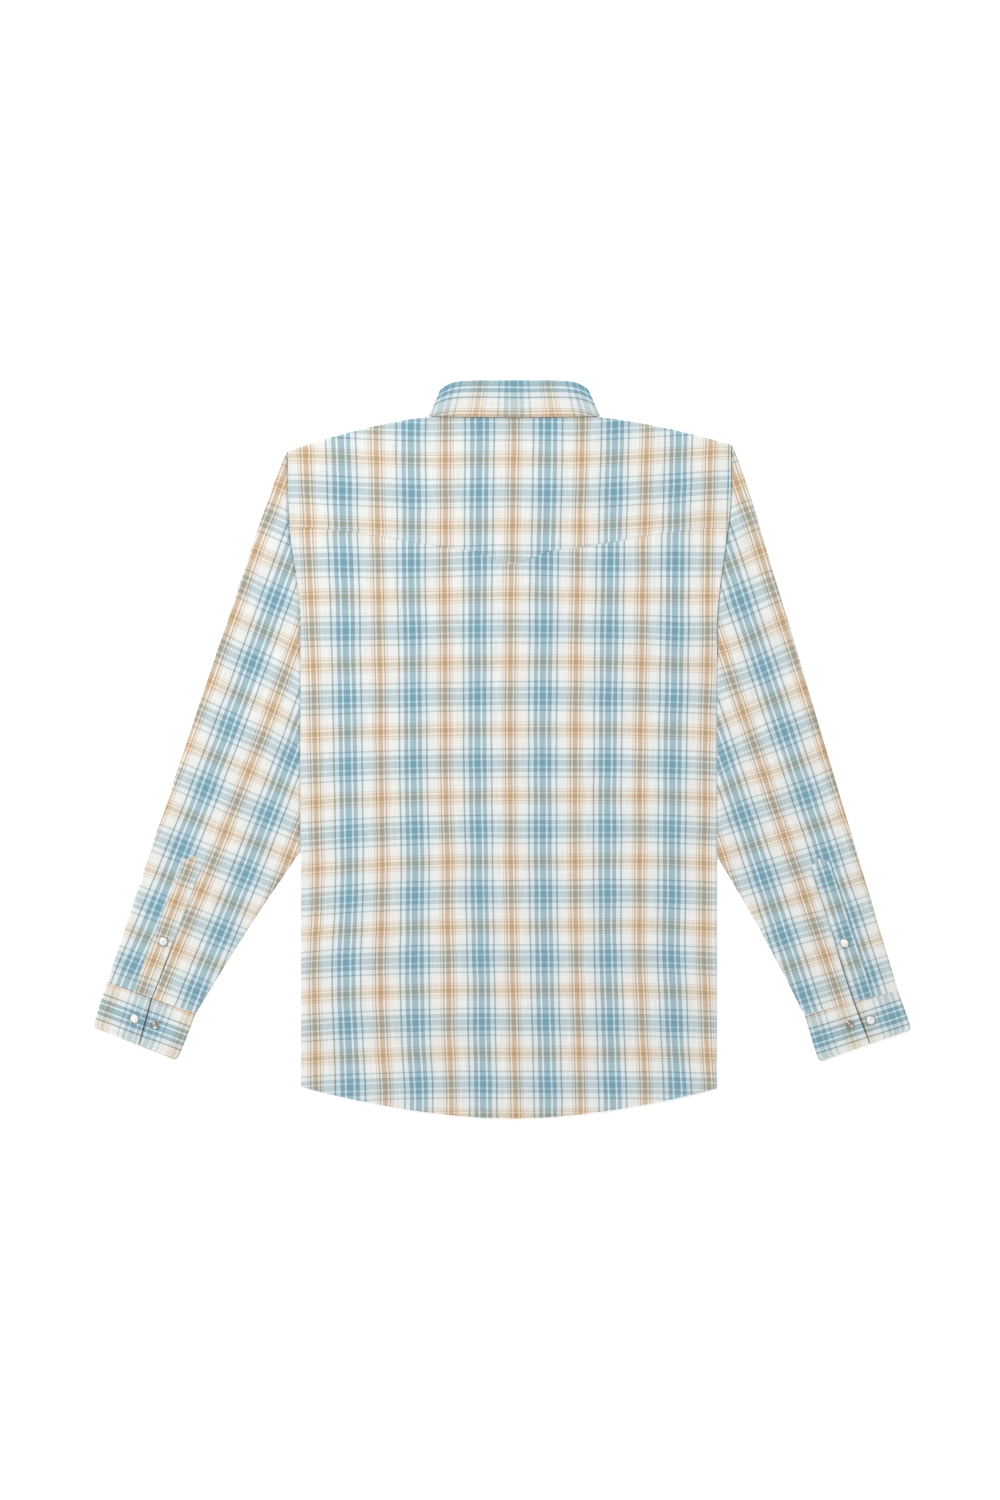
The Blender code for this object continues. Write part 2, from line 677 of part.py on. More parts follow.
def build_body(place):
    """Back, yoke, fronts and front placket."""
    turned = steps(2.0, 3.0, 3)[1:]
    half = [*steps(0.0, 1.0, 4), *steps(1.0, 2.0, 5)[1:], *turned]
    across = [-column for column in reversed(half[1:])] + half
    add_cloth(
        "back_panel", across, [*steps(0.0, 0.7, 4), *steps(0.7, 1.0, 6)[1:]], back_panel_point,
        CLOTH, PLAID, place,
    )
    yoke_rows = [*steps(0.0, 1.0, 4), *steps(1.0, 2.0, 3)[1:]]
    add_cloth("back_yoke", across, yoke_rows, yoke_point, CLOTH, PLAID_DARK, place)
    outer = [*steps(1.0, 2.0, 4)[1:], *turned]
    front_rows = [*steps(0.0, 0.6, 4), *steps(0.6, 1.0, 8)[1:], *steps(1.0, 2.0, 3)[1:]]
    left = [-column for column in reversed([*neck_columns(), *outer])]
    left[-1] -= GAP / NECK_HALF
    add_cloth("left_front", left, front_rows, left_front_point, CLOTH, PLAID, place)
    right = [*placket_columns()[:-1], *neck_columns(), *outer]
    add_cloth("right_front", right, front_rows, right_front_point, CLOTH, PLAID, place)
    add_cloth(
        "front_placket", placket_columns(), steps(0.0, 1.0, 6), placket_point,
        CLOTH, PLAID_DARK, place,
    )


def build_arm(side, place):
    """One sleeve with its placket, cuff and snaps."""
    ring = [90.0 + SLEEVE_STEP * step for step in range(int(360.0 / SLEEVE_STEP) + 1)]
    leaves = underarm_share(side)
    along = [0.0, 0.04, *steps(0.12, leaves, 3), *steps(leaves, SLIT_RISE, 4)[1:], 0.92, 1.0]
    add_cloth(
        f"{side.name}_sleeve", ring, along,
        lambda angle, row: sleeve_point(side, angle, row), CLOTH, PLAID, place,
    )
    add_cloth(
        f"{side.name}_cuff", ring, [0.0, 0.5, 0.88, 0.96, 1.0],
        lambda angle, row: cuff_point(side, angle, row), LINED, PLAID_DARK, place,
    )
    add_cloth(
        f"{side.name}_sleeve_placket", steps(0.0, 1.0, 4), steps(0.0, 1.0, 5),
        lambda across, row: sleeve_placket_point(side, across, row), CLOTH, PLAID_LIGHT, place,
    )
    on_placket = SLEEVE_TOP + CLOTH * 1.5 + GAP * 2
    on_cuff = CUFF_TOP + LINED / 2 + GAP
    add_turned(
        f"{side.name}_placket_snap", snap_profile(),
        on_sleeve(side, *side.placket_snap, on_placket), False, PEARL, 0.0, place,
    )
    add_turned(
        f"{side.name}_cuff_snap", snap_profile(),
        on_sleeve(side, *side.cuff_snap, on_cuff), False, PEARL, 0.0, place,
    )
    add_turned(
        f"{side.name}_cuff_stud", stud_profile(),
        on_sleeve(side, *side.cuff_stud, on_cuff), False, STEEL, 1.0, place,
    )


def build_collar(place):
    """Collar stand and leaf."""
    add_cloth(
        "collar_stand", collar_angles(stand_end_angle()), [0.0, 0.5, 1.0], stand_point,
        LINED, PLAID_LIGHT, place,
    )
    add_cloth(
        "collar_leaf", collar_angles(LEAF_FRONT_ANGLE), [0.06, 0.3, 0.6, 1.0, 1.5, 2.0],
        leaf_point, LINED, PLAID_DARK, place,
    )


def build_front_snaps(place):
    """The snaps down the placket and the one on the collar stand, faces down."""
    for number in range(FRONT_SNAPS):
        spot = NECK_X, FRONT_SNAP_FIRST + FRONT_SNAP_PITCH * number, SNAP_HEIGHT
        add_turned(f"front_snap_{number + 1}", snap_profile(), spot, True, PEARL, 0.0, place)
    spot = NECK_X, COLLAR_SNAP_DOWN, SNAP_HEIGHT
    add_turned("collar_snap", snap_profile(), spot, True, PEARL, 0.0, place)


def main():
    """Builds the shirt with its origin under the middle of its box."""
    clear_scene()
    collection = bpy.data.collections.new("button-up shirt")
    bpy.context.scene.collection.children.link(collection)
    frame = bpy.data.objects.new("garment_frame", None)
    collection.objects.link(frame)
    frame.location = -BOX_CENTRE[0] * MM, BOX_CENTRE[1] * MM, 0.0
    place = {"collection": collection, "frame": frame}
    build_body(place)
    for side in (LEFT, RIGHT):
        build_arm(side, place)
    build_collar(place)
    build_front_snaps(place)


main()
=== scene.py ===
"""Looks of a button-up shirt with a western back yoke, laid flat with its back uppermost.

Lengths are in millimetres, as a cutter would write them, and become metres when a mesh is made.
The garment's own frame is the CAD's: x from the centre back towards the wearer's right, "down"
from the nape towards the hem, and height above the surface that the shirt lies on. Its front
faces down. On a sleeve, "out" is the distance from the centre back on either side.

Every tube of the garment (sleeve, cuff, collar) lies as a flattened ring. An angle round such a
ring is 0 at one fold, 90 on the upper run, 180 at the other fold and 270 on the lower run.

Each cloth piece is a Surface, which gives every (column, row) a place in the garment and a place
on the bolt of cloth that it was cut from. The second is kept as the UV map "bolt", in metres, and
the plaid is woven on that map, so its stripes run as the cloth was cut, sewn and pressed.
"""

import logging
import math
from collections.abc import Callable, Sequence
from dataclasses import dataclass
from enum import Enum

import bmesh
import bpy
import numpy as np
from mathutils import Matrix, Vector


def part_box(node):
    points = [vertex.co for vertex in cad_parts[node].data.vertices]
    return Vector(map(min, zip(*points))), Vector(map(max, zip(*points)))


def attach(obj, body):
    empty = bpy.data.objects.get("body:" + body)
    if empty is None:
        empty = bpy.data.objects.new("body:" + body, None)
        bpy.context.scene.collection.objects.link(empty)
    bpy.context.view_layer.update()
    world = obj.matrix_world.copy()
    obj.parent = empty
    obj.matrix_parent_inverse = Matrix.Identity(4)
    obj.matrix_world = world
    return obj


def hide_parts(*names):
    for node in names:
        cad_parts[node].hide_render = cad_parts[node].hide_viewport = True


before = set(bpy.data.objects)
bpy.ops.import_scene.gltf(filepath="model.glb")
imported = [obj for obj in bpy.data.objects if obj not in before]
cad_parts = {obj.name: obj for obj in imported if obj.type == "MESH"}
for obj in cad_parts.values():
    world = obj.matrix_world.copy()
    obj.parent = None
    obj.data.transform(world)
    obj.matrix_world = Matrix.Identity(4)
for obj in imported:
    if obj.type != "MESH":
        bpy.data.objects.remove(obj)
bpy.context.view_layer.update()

Array = np.ndarray
Pair = tuple[float, float]
Place = Callable[[Array, Array], Array]
Mesh, Item, Finish = bpy.types.Mesh, bpy.types.Object, bpy.types.Material
Tree, Node, Socket = bpy.types.NodeTree, bpy.types.Node, bpy.types.NodeSocket

log = logging.getLogger("shirt")

MM = 0.001
GRID = 4.0              # spacing of a cloth mesh
SHIRTING = 0.5          # one layer of shirting
BAND = 1.0              # a placket, folded to four layers
LINED = 1.2             # collar and cuffs, with their interlining
GAP = 0.4               # the CAD's gap between pieces that are sewn together
CAD_CLOTH = 1.2         # the CAD's wall for a layer of shirting
HUG = (CAD_CLOTH - SHIRTING) / 2    # from the middle of that wall to a layer at its outer face
REPEAT = 71.7           # one repeat of the plaid, the same in warp and weft
CLOTH_MERGE = 0.02      # vertices of a piece nearer than this are one
METAL_MERGE = 0.005
THREAD_MERGE = 0.001
BOLT = "bolt"


# --- small sums

def mix(a: Array | float, b: Array | float, t: Array | float) -> Array:
    """The value t of the way from a to b."""
    return a + (b - a) * t


def smooth(t: Array) -> Array:
    """0 below 0, 1 above 1 and an S between them: 3t^2 - 2t^3."""
    held = np.clip(t, 0.0, 1.0)
    return held * held * (3.0 - 2.0 * held)


def between(at: Array, ends: Pair) -> Array:
    """0 before the first end, 1 after the second and an S between them."""
    return smooth((at - ends[0]) / (ends[1] - ends[0]))


def bell(t: Array) -> Array:
    """A Gaussian hump: 1 at 0 and a third at 1."""
    return np.exp(-t * t)


def sine(angle: Array) -> Array:
    """Sine of an angle in degrees."""
    return np.sin(np.radians(angle))


def cosine(angle: Array) -> Array:
    """Cosine of an angle in degrees."""
    return np.cos(np.radians(angle))


def quarter(amount: Array) -> Array:
    """The angle in radians that is this share of a quarter turn, with none below 0."""
    return np.radians(90.0 * np.maximum(amount, 0.0))


def turn(angle: Array, ease: float) -> Array:
    """Height round a flattened ring: 1 on the upper run, -1 on the lower, easing over the folds."""
    rise = sine(angle)
    from_fold = np.degrees(np.arcsin(np.clip(np.abs(rise), 0.0, 1.0)))
    return np.copysign(sine(90.0 * np.minimum(from_fold / ease, 1.0)), rise)


@dataclass(frozen=True)
class Course:
    """A size that changes along a piece: straight lines between places, with rounded corners.

    The lines are averaged over five points that span the ease on both sides.
    """

    places: tuple[float, ...]
    values: tuple[float, ...]
    ease: float

    def at(self, where: Array) -> Array:
        """The size at every point."""
        shifts = np.linspace(-self.ease, self.ease, 5)
        return sum(np.interp(where + shift, self.places, self.values) for shift in shifts) / len(shifts)


def stacked(*parts: Array | float) -> Array:
    """The parts of each point, spread to one shape and put side by side on the last axis."""
    return np.stack(np.broadcast_arrays(*parts), axis=-1)


def plan(points: Array) -> tuple[Array, Array]:
    """x and down of points."""
    return points[..., 0], points[..., 1]


def steps(first: float, last: float, span: float) -> Array:
    """Even parameters from first to last, about a grid step apart over this span in mm."""
    return np.linspace(first, last, max(2, round(abs(span) / GRID) + 1))


def closing(count: int, reach: float) -> Array:
    """Parameters that lie closer and closer as they near 1, from this far below it."""
    return 1.0 - np.linspace(1.0, 0.0, count) ** 2 * reach


def chain(*runs: Sequence[float]) -> Array:
    """Runs of rising parameters joined end to end, with each shared end kept once."""
    return np.unique(np.round(np.concatenate(runs), 9))


# --- frame, surfaces and meshes

@dataclass(frozen=True)
class Nape:
    """Where the garment's own frame lies in the model, in metres."""

    x: float
    y: float

    @classmethod
    def from_node(cls, node: str, x: float, down: float) -> "Nape":
        """Finds the nape from a CAD node whose middle is at this x and down in the garment."""
        low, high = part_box(node)
        return cls((low.x + high.x) / 2 - x * MM, (low.y + high.y) / 2 + down * MM)

    def points(self, x: Array, down: Array, height: Array) -> Array:
        """Model points in metres for garment coordinates in millimetres."""
        return stacked(self.x + x * MM, self.y - down * MM, height * MM)


@dataclass(frozen=True)
class Surface:
    """A piece of cloth: its place in the garment and on the bolt, for every (column, row).

    place gives x, down and height stacked on the last axis, and bolt gives the distances across
    the warp stripes and along them, all in millimetres.
    """

    place: Place
    bolt: Place


@dataclass(frozen=True)
class Cut:
    """The flat size that a piece was cut to, in metres, and its area in square metres."""

    width: float
    length: float
    area: float


def cell_corners(columns: Array, rows: Array) -> tuple[Array, Array]:
    """Parameters at the four corners of every cell, held a little inside the cell.

    A corner lies 1/1000 of the way to its cell's middle, so a bolt that jumps at a seam or a fold
    gives each cell the value of its own side.

    Args:
        columns: Rising column parameters.
        rows: Rising row parameters.

    Returns:
        Columns and rows, each as an array of (cell row, cell column, corner).
    """
    inside = 1e-3
    left = mix(columns[:-1], columns[1:], inside)
    right = mix(columns[1:], columns[:-1], inside)
    low = mix(rows[:-1], rows[1:], inside)
    high = mix(rows[1:], rows[:-1], inside)
    across = np.stack([left, right, right, left], axis=-1)[None, :, :]
    along = np.stack([low, low, high, high], axis=-1)[:, None, :]
    shape = (len(low), len(left), 4)
    return np.broadcast_to(across, shape), np.broadcast_to(along, shape)


def grid_faces(row_count: int, column_count: int) -> Array:
    """Quads of a grid of vertices, counter-clockwise when columns run right and rows run up."""
    index = np.arange(row_count * column_count).reshape(row_count, column_count)
    corners = [index[:-1, :-1], index[:-1, 1:], index[1:, 1:], index[1:, :-1]]
    return np.stack(corners, axis=-1).reshape(-1, 4)


def new_mesh(name: str, points: Array, faces: Array, finish: Finish) -> Mesh:
    """Makes a mesh in one material from points in metres.

    Args:
        name: Its name.
        points: Places of its vertices, in any grid.
        faces: Vertex numbers of its faces.
        finish: Its material.

    Returns:
        The mesh.
    """
    mesh = bpy.data.meshes.new(name)
    mesh.from_pydata(points.reshape(-1, 3).tolist(), [], faces.tolist())
    mesh.materials.append(finish)
    return mesh


def new_object(name: str, mesh: Mesh) -> Item:
    """Adds an object at the origin that holds this mesh."""
    item = bpy.data.objects.new(name, mesh)
    bpy.context.scene.collection.objects.link(item)
    return item


def merge_and_face(mesh: Mesh, merge: float, outwards: bool) -> None:
    """Merges vertices closer than this many mm and, on a closed form, turns its faces outwards.

    Args:
        mesh: The mesh to change.
        merge: Distance in millimetres.
        outwards: True for a closed form.
    """
    cells = bmesh.new()
    cells.from_mesh(mesh)
    bmesh.ops.remove_doubles(cells, verts=cells.verts, dist=merge * MM)
    bmesh.ops.dissolve_degenerate(cells, edges=cells.edges, dist=merge * MM / 10)
    if outwards:
        bmesh.ops.recalc_face_normals(cells, faces=cells.faces)
    cells.to_mesh(mesh)
    cells.free()


def give_wall(item: Item, wall: float) -> None:
    """Gives a layer of cloth its thickness, half to each side, and keeps the result as its mesh.

    Args:
        item: The piece, whose mesh is the middle of the layer.
        wall: Thickness in millimetres.
    """
    shell = item.modifiers.new("wall", "SOLIDIFY")
    shell.thickness = wall * MM
    shell.offset = 0.0
    shell.use_quality_normals = True
    settled = item.evaluated_get(bpy.context.evaluated_depsgraph_get())
    mesh = bpy.data.meshes.new_from_object(settled)
    item.modifiers.clear()
    item.data = mesh
    mesh.shade_smooth()
    mesh.set_sharp_from_angle(angle=math.radians(50.0))


@dataclass
class Tailor:
    nape: Nape
    cloth: Finish

    def sew(
        self, node: str, surface: Surface, columns: Array, rows: Array,
        wall: float, cut: Cut, rests_on: Sequence[str] = (), faces_down: bool = False,
    ) -> Item:
        """Makes one piece of cloth from its surface, named after the node that it stands for.

        Args:
            node: The CAD node.
            surface: Where the piece lies, and which part of the bolt it is.
            columns: Column parameters of its grid.
            rows: Row parameters of its grid.
            wall: Thickness in millimetres.
            cut: Flat size of the piece; not used.
            rests_on: Pieces or nodes that it lies on; not used.
            faces_down: True where the grid's columns run right and its outside faces down.

        Returns:
            The finished object.
        """
        name = f"{node}_cloth"
        column_grid, row_grid = np.meshgrid(columns, rows)
        points = self.nape.points(*np.moveaxis(surface.place(column_grid, row_grid), -1, 0))
        faces = grid_faces(len(rows), len(columns))
        bolt = surface.bolt(*cell_corners(columns, rows)).reshape(-1, 4, 2) * MM
        if faces_down:
            faces, bolt = faces[:, ::-1], bolt[:, ::-1]
        mesh = new_mesh(name, points, faces, self.cloth)
        layer = mesh.uv_layers.new(name=BOLT)
        layer.data.foreach_set("uv", bolt.astype(np.float32).ravel())
        merge_and_face(mesh, CLOTH_MERGE, outwards=False)
        item = new_object(name, mesh)
        give_wall(item, wall)
        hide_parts(node)
        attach(item, "root")
        list(rests_on)
        log.info("%s: %d faces", name, len(item.data.polygons))
        return item


# --- snaps

class Facing(Enum):
    """Which way a snap looks, as the sign of its height."""

    UP = 1.0
    DOWN = -1.0


def cut_corners(outline: Array, times: int = 2) -> Array:
    """Rounds an outline: each corner is cut off a quarter of the way along both of its sides.

    Args:
        outline: Points of an open line.
        times: How many times over.

    Returns:
        The rounded line, with the same two ends.
    """
    for _ in range(times):
        quarters = [mix(outline[:-1], outline[1:], 0.25), mix(outline[:-1], outline[1:], 0.75)]
        middle = np.stack(quarters, axis=1).reshape(-1, outline.shape[1])
        outline = np.concatenate([outline[:1], middle, outline[-1:]])
    return outline


@dataclass
class Hardware:
    """Pearl snaps with a rolled rim, and bare snap studs, each standing where the CAD has one.

    Heights are from the level of the CAD piece's foot; below it the metal reaches into the cloth.
    """

    pearl: Finish
    metal: Finish
    rim_radius: float = 5.3
    rim_half: float = 0.5
    rim_rise: float = 1.3
    pearl_radius: float = 4.35
    pearl_rise: float = 2.0
    pearl_edge: float = 1.15
    pearl_foot: float = 0.3
    dome_power: float = 2.4
    stud_radius: float = 4.7
    post_radius: float = 1.8
    post_rise: float = 2.2
    bore_radius: float = 0.75
    post_floor: float = 0.7         # floor of the post's bore
    dish: float = 0.35              # floor of the ring's dish
    ring_rise: float = 1.3
    foot: float = -0.6
    sides: int = 48

    def turned(
        self, name: str, node: str, profile: Array, finish: Finish,
        slot: str, facing: Facing,
    ) -> Item:
        """Turns a profile about the upright line through a CAD snap.

        A point lies at its radius times the cosine and sine of an even angle.

        Args:
            name: Name of the new piece.
            node: CAD node that it stands for.
            profile: Rows of (radius, height) in mm, from the top down or round a closed section.
            finish: Its material.
            slot: The record's material slot; not used.
            facing: Which way it looks.

        Returns:
            The finished object.
        """
        low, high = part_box(node)
        level = low.z if facing is Facing.UP else high.z
        angle = np.linspace(0.0, 360.0, self.sides + 1)
        radius, rise = profile[:, :1] * MM, profile[:, 1:] * MM
        x = (low.x + high.x) / 2 + radius * cosine(angle)
        y = (low.y + high.y) / 2 + radius * sine(angle)
        points = stacked(x, y, level + facing.value * rise)
        mesh = new_mesh(name, points, grid_faces(len(profile), self.sides + 1), finish)
        merge_and_face(mesh, METAL_MERGE, outwards=True)
        mesh.shade_smooth()
        item = new_object(name, mesh)
        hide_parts(node)
        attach(item, "root")
        log.info("%s: %d faces", name, len(mesh.polygons))
        return item

    def pearl_profile(self) -> Array:
        """A domed cap whose height falls as a power of the radius, then its hidden side and foot."""
        share = np.linspace(0.0, 1.0, 14)
        rise = mix(self.pearl_rise, self.pearl_edge, share ** self.dome_power)
        foot = [(self.pearl_radius, self.pearl_foot), (0.0, self.pearl_foot)]
        return np.concatenate([stacked(self.pearl_radius * share, rise), foot])

    def rim_profile(self) -> Array:
        """The rim's section: an ellipse that stands up out of the cloth round the pearl."""
        turned = np.linspace(0.0, 360.0, 17)
        middle, half = (self.rim_rise + self.foot) / 2, (self.rim_rise - self.foot) / 2
        radius = self.rim_radius - self.rim_half * (1.0 - cosine(turned))
        return stacked(radius, middle + half * sine(turned))

    def stud_profile(self) -> Array:
        """A bored post with a swollen head, standing in a dished ring with a rolled edge."""
        post, ring = self.post_radius, self.stud_radius
        bored = [(0.0, self.post_floor), (self.bore_radius, self.post_floor)]
        head = [(self.bore_radius, self.post_rise), (post, self.post_rise), (post, 1.4)]
        neck = [(post - 0.5, 0.9), (post - 0.3, self.dish)]
        rolled = [(ring - 1.6, self.dish), (ring - 1.2, self.ring_rise), (ring, self.ring_rise)]
        foot = [(ring, self.foot), (0.0, self.foot)]
        return cut_corners(np.array([*bored, *head, *neck, *rolled, *foot]))

    def snap(self, node: str, facing: Facing) -> None:
        """Makes one pearl snap: the pearl and its rim."""
        self.turned(f"{node}_pearl", node, self.pearl_profile(), self.pearl, "pearl", facing)
        self.turned(f"{node}_rim", node, self.rim_profile(), self.metal, "snap_metal", facing)

    def build(self) -> None:
        """Makes every snap and stud of the shirt."""
        for side in ("left", "right"):
            self.snap(f"{side}_placket_snap", Facing.UP)
            self.snap(f"{side}_cuff_snap", Facing.UP)
            node = f"{side}_cuff_stud"
            self.turned(f"{node}_post", node, self.stud_profile(), self.metal, "snap_metal", Facing.UP)
        for number in range(1, 8):
            self.snap(f"front_snap_{number}", Facing.DOWN)
        self.snap("collar_snap", Facing.DOWN)


# --- stitches

@dataclass(frozen=True)
class Seam:
    """One row of stitches: points (x, down, height) along it, and the way its cloth faces."""

    line: Array
    facing: Facing


@dataclass
class Stitcher:
    """Sews rows of machine stitches, each a small bar of thread that dips into the cloth.

    A real stitch is about 2.2 mm long and its thread 0.25 mm thick, too fine to show, so each is
    drawn a little longer and thicker.
    """

    nape: Nape
    thread: Finish
    pitch: float = 3.0
    length: float = 2.3
    radius: float = 0.2
    ring_at: tuple[float, ...] = (0.0, 0.2, 0.8, 1.0)       # shares of a stitch's length
    ring_lift: tuple[float, ...] = (-1.3, 0.5, 0.5, -1.3)   # each ring's height, in radii

    def bars(self, seam: Seam) -> Array:
        """Corners of every stitch of a row.

        A stitch is a square bar with four rings: at its ends it lies in the cloth and between
        them on it.

        Args:
            seam: The row.

        Returns:
            Points (x, down, height) as an array of (stitch, ring, corner, 3).
        """
        line = seam.line
        gone = np.concatenate([[0.0], np.cumsum(np.linalg.norm(np.diff(line, axis=0), axis=1))])
        count = int(gone[-1] // self.pitch)
        starts = self.pitch * (np.arange(count) + 0.5) - self.length / 2
        at = starts[:, None] + self.length * np.array(self.ring_at)
        middle = stacked(*(np.interp(at, gone, line[:, axis]) for axis in range(3)))
        run = middle[:, -1, :2] - middle[:, 0, :2]
        run /= np.linalg.norm(run, axis=1, keepdims=True)
        aside = stacked(-run[:, 1], run[:, 0], 0.0)[:, None, None, :]
        up = np.array([0.0, 0.0, seam.facing.value])
        lift = self.radius * np.array(self.ring_lift)[:, None] * up
        corner = np.array([45.0, 135.0, 225.0, 315.0])[:, None]
        spread = self.radius * (aside * cosine(corner) + up * sine(corner))
        return (middle + lift)[:, :, None, :] + spread

    def sew(self, name: str, seams: Sequence[Seam]) -> Item:
        """Joins the stitches of several rows in one piece.

        Args:
            name: Name of the new piece.
            seams: The rows.

        Returns:
            The finished object.
        """
        corners = np.concatenate([self.bars(seam) for seam in seams])
        points = self.nape.points(*np.moveaxis(corners, -1, 0))
        ring = np.arange(4)
        after = (ring + 1) % 4
        side = stacked(ring, after, after + 4, ring + 4)
        stitch = np.concatenate([side, side + 4, side + 8, [ring[::-1], 12 + ring]])
        faces = (16 * np.arange(len(corners))[:, None, None] + stitch).reshape(-1, 4)
        mesh = new_mesh(name, points, faces, self.thread)
        merge_and_face(mesh, THREAD_MERGE, outwards=True)
        mesh.shade_smooth()
        item = new_object(name, mesh)
        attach(item, "root")
        log.info("%s: %d stitches", name, len(corners))
        return item


# --- cloth that isn't quite flat

@dataclass(frozen=True)
class Crease:
    """A soft ridge, or a trough where its height is below 0, between two plan points.

    Its section is a bell as wide as width on each side, it fades to nothing at both ends, and its
    line bows sideways by a share of its length.
    """

    start: Pair
    end: Pair
    height: float
    width: float
    bow: float = 0.0

    def lift(self, x: Array, down: Array) -> Array:
        """Height that the crease adds at plan points.

        Args:
            x: x of plan points.
            down: How far down they lie.

        Returns:
            Heights in millimetres.
        """
        run = self.end[0] - self.start[0], self.end[1] - self.start[1]
        length = math.hypot(*run)
        right, fall = x - self.start[0], down - self.start[1]
        along = (right * run[0] + fall * run[1]) / length ** 2
        aside = (right * run[1] - fall * run[0]) / length
        held = np.clip(along, 0.0, 1.0)
        middle = self.bow * length * 4.0 * held * (1.0 - held)
        fade = np.sin(np.pi * held) ** 1.5
        return self.height * fade * bell((aside - middle) / self.width)


@dataclass(frozen=True)
class Ripple:
    """A slow unevenness of pressed cloth: two crossed waves of unlike length."""

    height: float
    lengths: Pair
    phase: Pair

    def lift(self, x: Array, down: Array) -> Array:
        """Height that the waves add at plan points."""
        first = np.sin(2 * np.pi * (x + 0.35 * down) / self.lengths[0] + self.phase[0])
        second = np.sin(2 * np.pi * (down - 0.25 * x) / self.lengths[1] + self.phase[1])
        return self.height * (0.5 * first * second + 0.3 * first + 0.2 * second)


@dataclass(frozen=True)
class Pull:
    """A place where sewing and pressing have drawn the cloth askew, fading as a bell around it."""

    at: Pair
    reach: Pair
    drawn: Pair

    def share(self, first: Array, second: Array) -> Array:
        """How much of the pull is felt at plan points."""
        away = np.hypot((first - self.at[0]) / self.reach[0], (second - self.at[1]) / self.reach[1])
        return bell(away)


def undrawn(pulls: Sequence[Pull], first: Array, second: Array) -> tuple[Array, Array]:
    """Where plan points would lie if the cloth hadn't been drawn askew.

    Args:
        pulls: The pulls.
        first: Distance one way.
        second: Distance the other way.

    Returns:
        Both distances before the pulls.
    """
    shares = [(pull, pull.share(first, second)) for pull in pulls]
    aside = sum(pull.drawn[0] * share for pull, share in shares)
    along = sum(pull.drawn[1] * share for pull, share in shares)
    return first - aside, second - along


def lifts(folds: Sequence[Crease | Ripple], x: Array, down: Array) -> Array:
    """The heights that several creases and ripples add together."""
    return sum(fold.lift(x, down) for fold in folds)


# --- the wearer's sides

@dataclass(frozen=True)
class SleeveLay:
    """How the plaid lies on a sleeve: it runs from a corner by the shoulder, down the sleeve.

    Distances inwards are square to the sleeve's line, which leans out from the body. A blue warp
    stripe lies blue_in inwards, and the weft is the blue stripes' first, pitch and shrink.
    """

    corner: Pair
    lean: float
    warp_pitch: float
    weft: tuple[float, float, float]
    blue_in: Course
    inner_sag: Course
    pulls: tuple[Pull, ...]
    sag_inwards: float = 132.0      # how far inwards the sag is as much as is given

    def local(self, out: Array, down: Array) -> tuple[Array, Array]:
        """Distance inwards from the sleeve's line, and distance down it."""
        right, fall = out - self.corner[0], down - self.corner[1]
        inwards = fall * sine(self.lean) - right * cosine(self.lean)
        return inwards, right * sine(self.lean) + fall * cosine(self.lean)

    def bolt(self, inwards: Array, along: Array) -> Array:
        """Distances across and along the warp for places on the sleeve's upper run.

        Args:
            inwards: Distance inwards from the sleeve's line.
            along: Distance down it.

        Returns:
            Distances across and along the warp.
        """
        inwards, along = undrawn(self.pulls, inwards, along)
        across = (inwards - self.blue_in.at(along)) / self.warp_pitch * REPEAT
        sag = self.inner_sag.at(along) * (np.maximum(inwards, 0.0) / self.sag_inwards) ** 2
        return stacked(across, weft_at(along - sag, *self.weft))


def weft_at(down: Array, first: float, pitch: float, shrink: float) -> Array:
    """Distance along the warp at a place, from where its blue weft stripes lie.

    Blue stripe n lies first + pitch n - shrink n^2 down, which is solved for n.

    Args:
        down: Distance down the piece.
        first: Where blue stripe 0 lies.
        pitch: Distance to the next stripe.
        shrink: How much nearer each further stripe lies, halved.

    Returns:
        Distance along the bolt, 0 at blue stripe 0.
    """
    root = pitch * pitch - 4.0 * shrink * (down - first)
    return (pitch - np.sqrt(np.maximum(root, 0.0))) / (2.0 * shrink) * REPEAT


@dataclass(frozen=True)
class CuffLay:
    """How the plaid lies on a cuff, whose warp runs round the wrist.

    Blue weft stripes cross it this far in from its outer fold and from its underarm fold. A blue
    warp stripe runs round it, this far up from its edge at the underarm fold and at the outer fold.
    """

    outer_blue: float
    inner_blue: float
    blue_up: Pair


@dataclass(frozen=True)
class PlacketLay:
    """How the plaid lies on a sleeve placket, whose warp runs up it.

    A blue warp stripe lies this far out from the slit, and a blue weft stripe this far up from
    the cuff seam, with the next one a pitch further.
    """

    blue_out: float
    blue_up: float
    pitch: float


@dataclass(frozen=True)
class Side:
    """One side of the wearer. Half widths are to the outer face; cuff corners are (out, down).

    The armhole goes from the shoulder's half width to the side's while down is in the swing.
    The slit's line lies at three shares of the way out across the sleeve: at its sight, at the
    cuff seam and at the cuff's edge.
    """

    name: str
    sign: int
    shoulder_half: float
    side_half: float
    swing: Pair
    shoulder_drop: float
    seam_out: Pair
    seam_in: Pair
    edge_out: Pair
    edge_in: Pair
    leaves_body: float
    slit_shares: tuple[float, float, float]
    lay: SleeveLay
    cuff_lay: CuffLay
    placket_lay: PlacketLay
    folds: tuple[Crease | Ripple, ...]


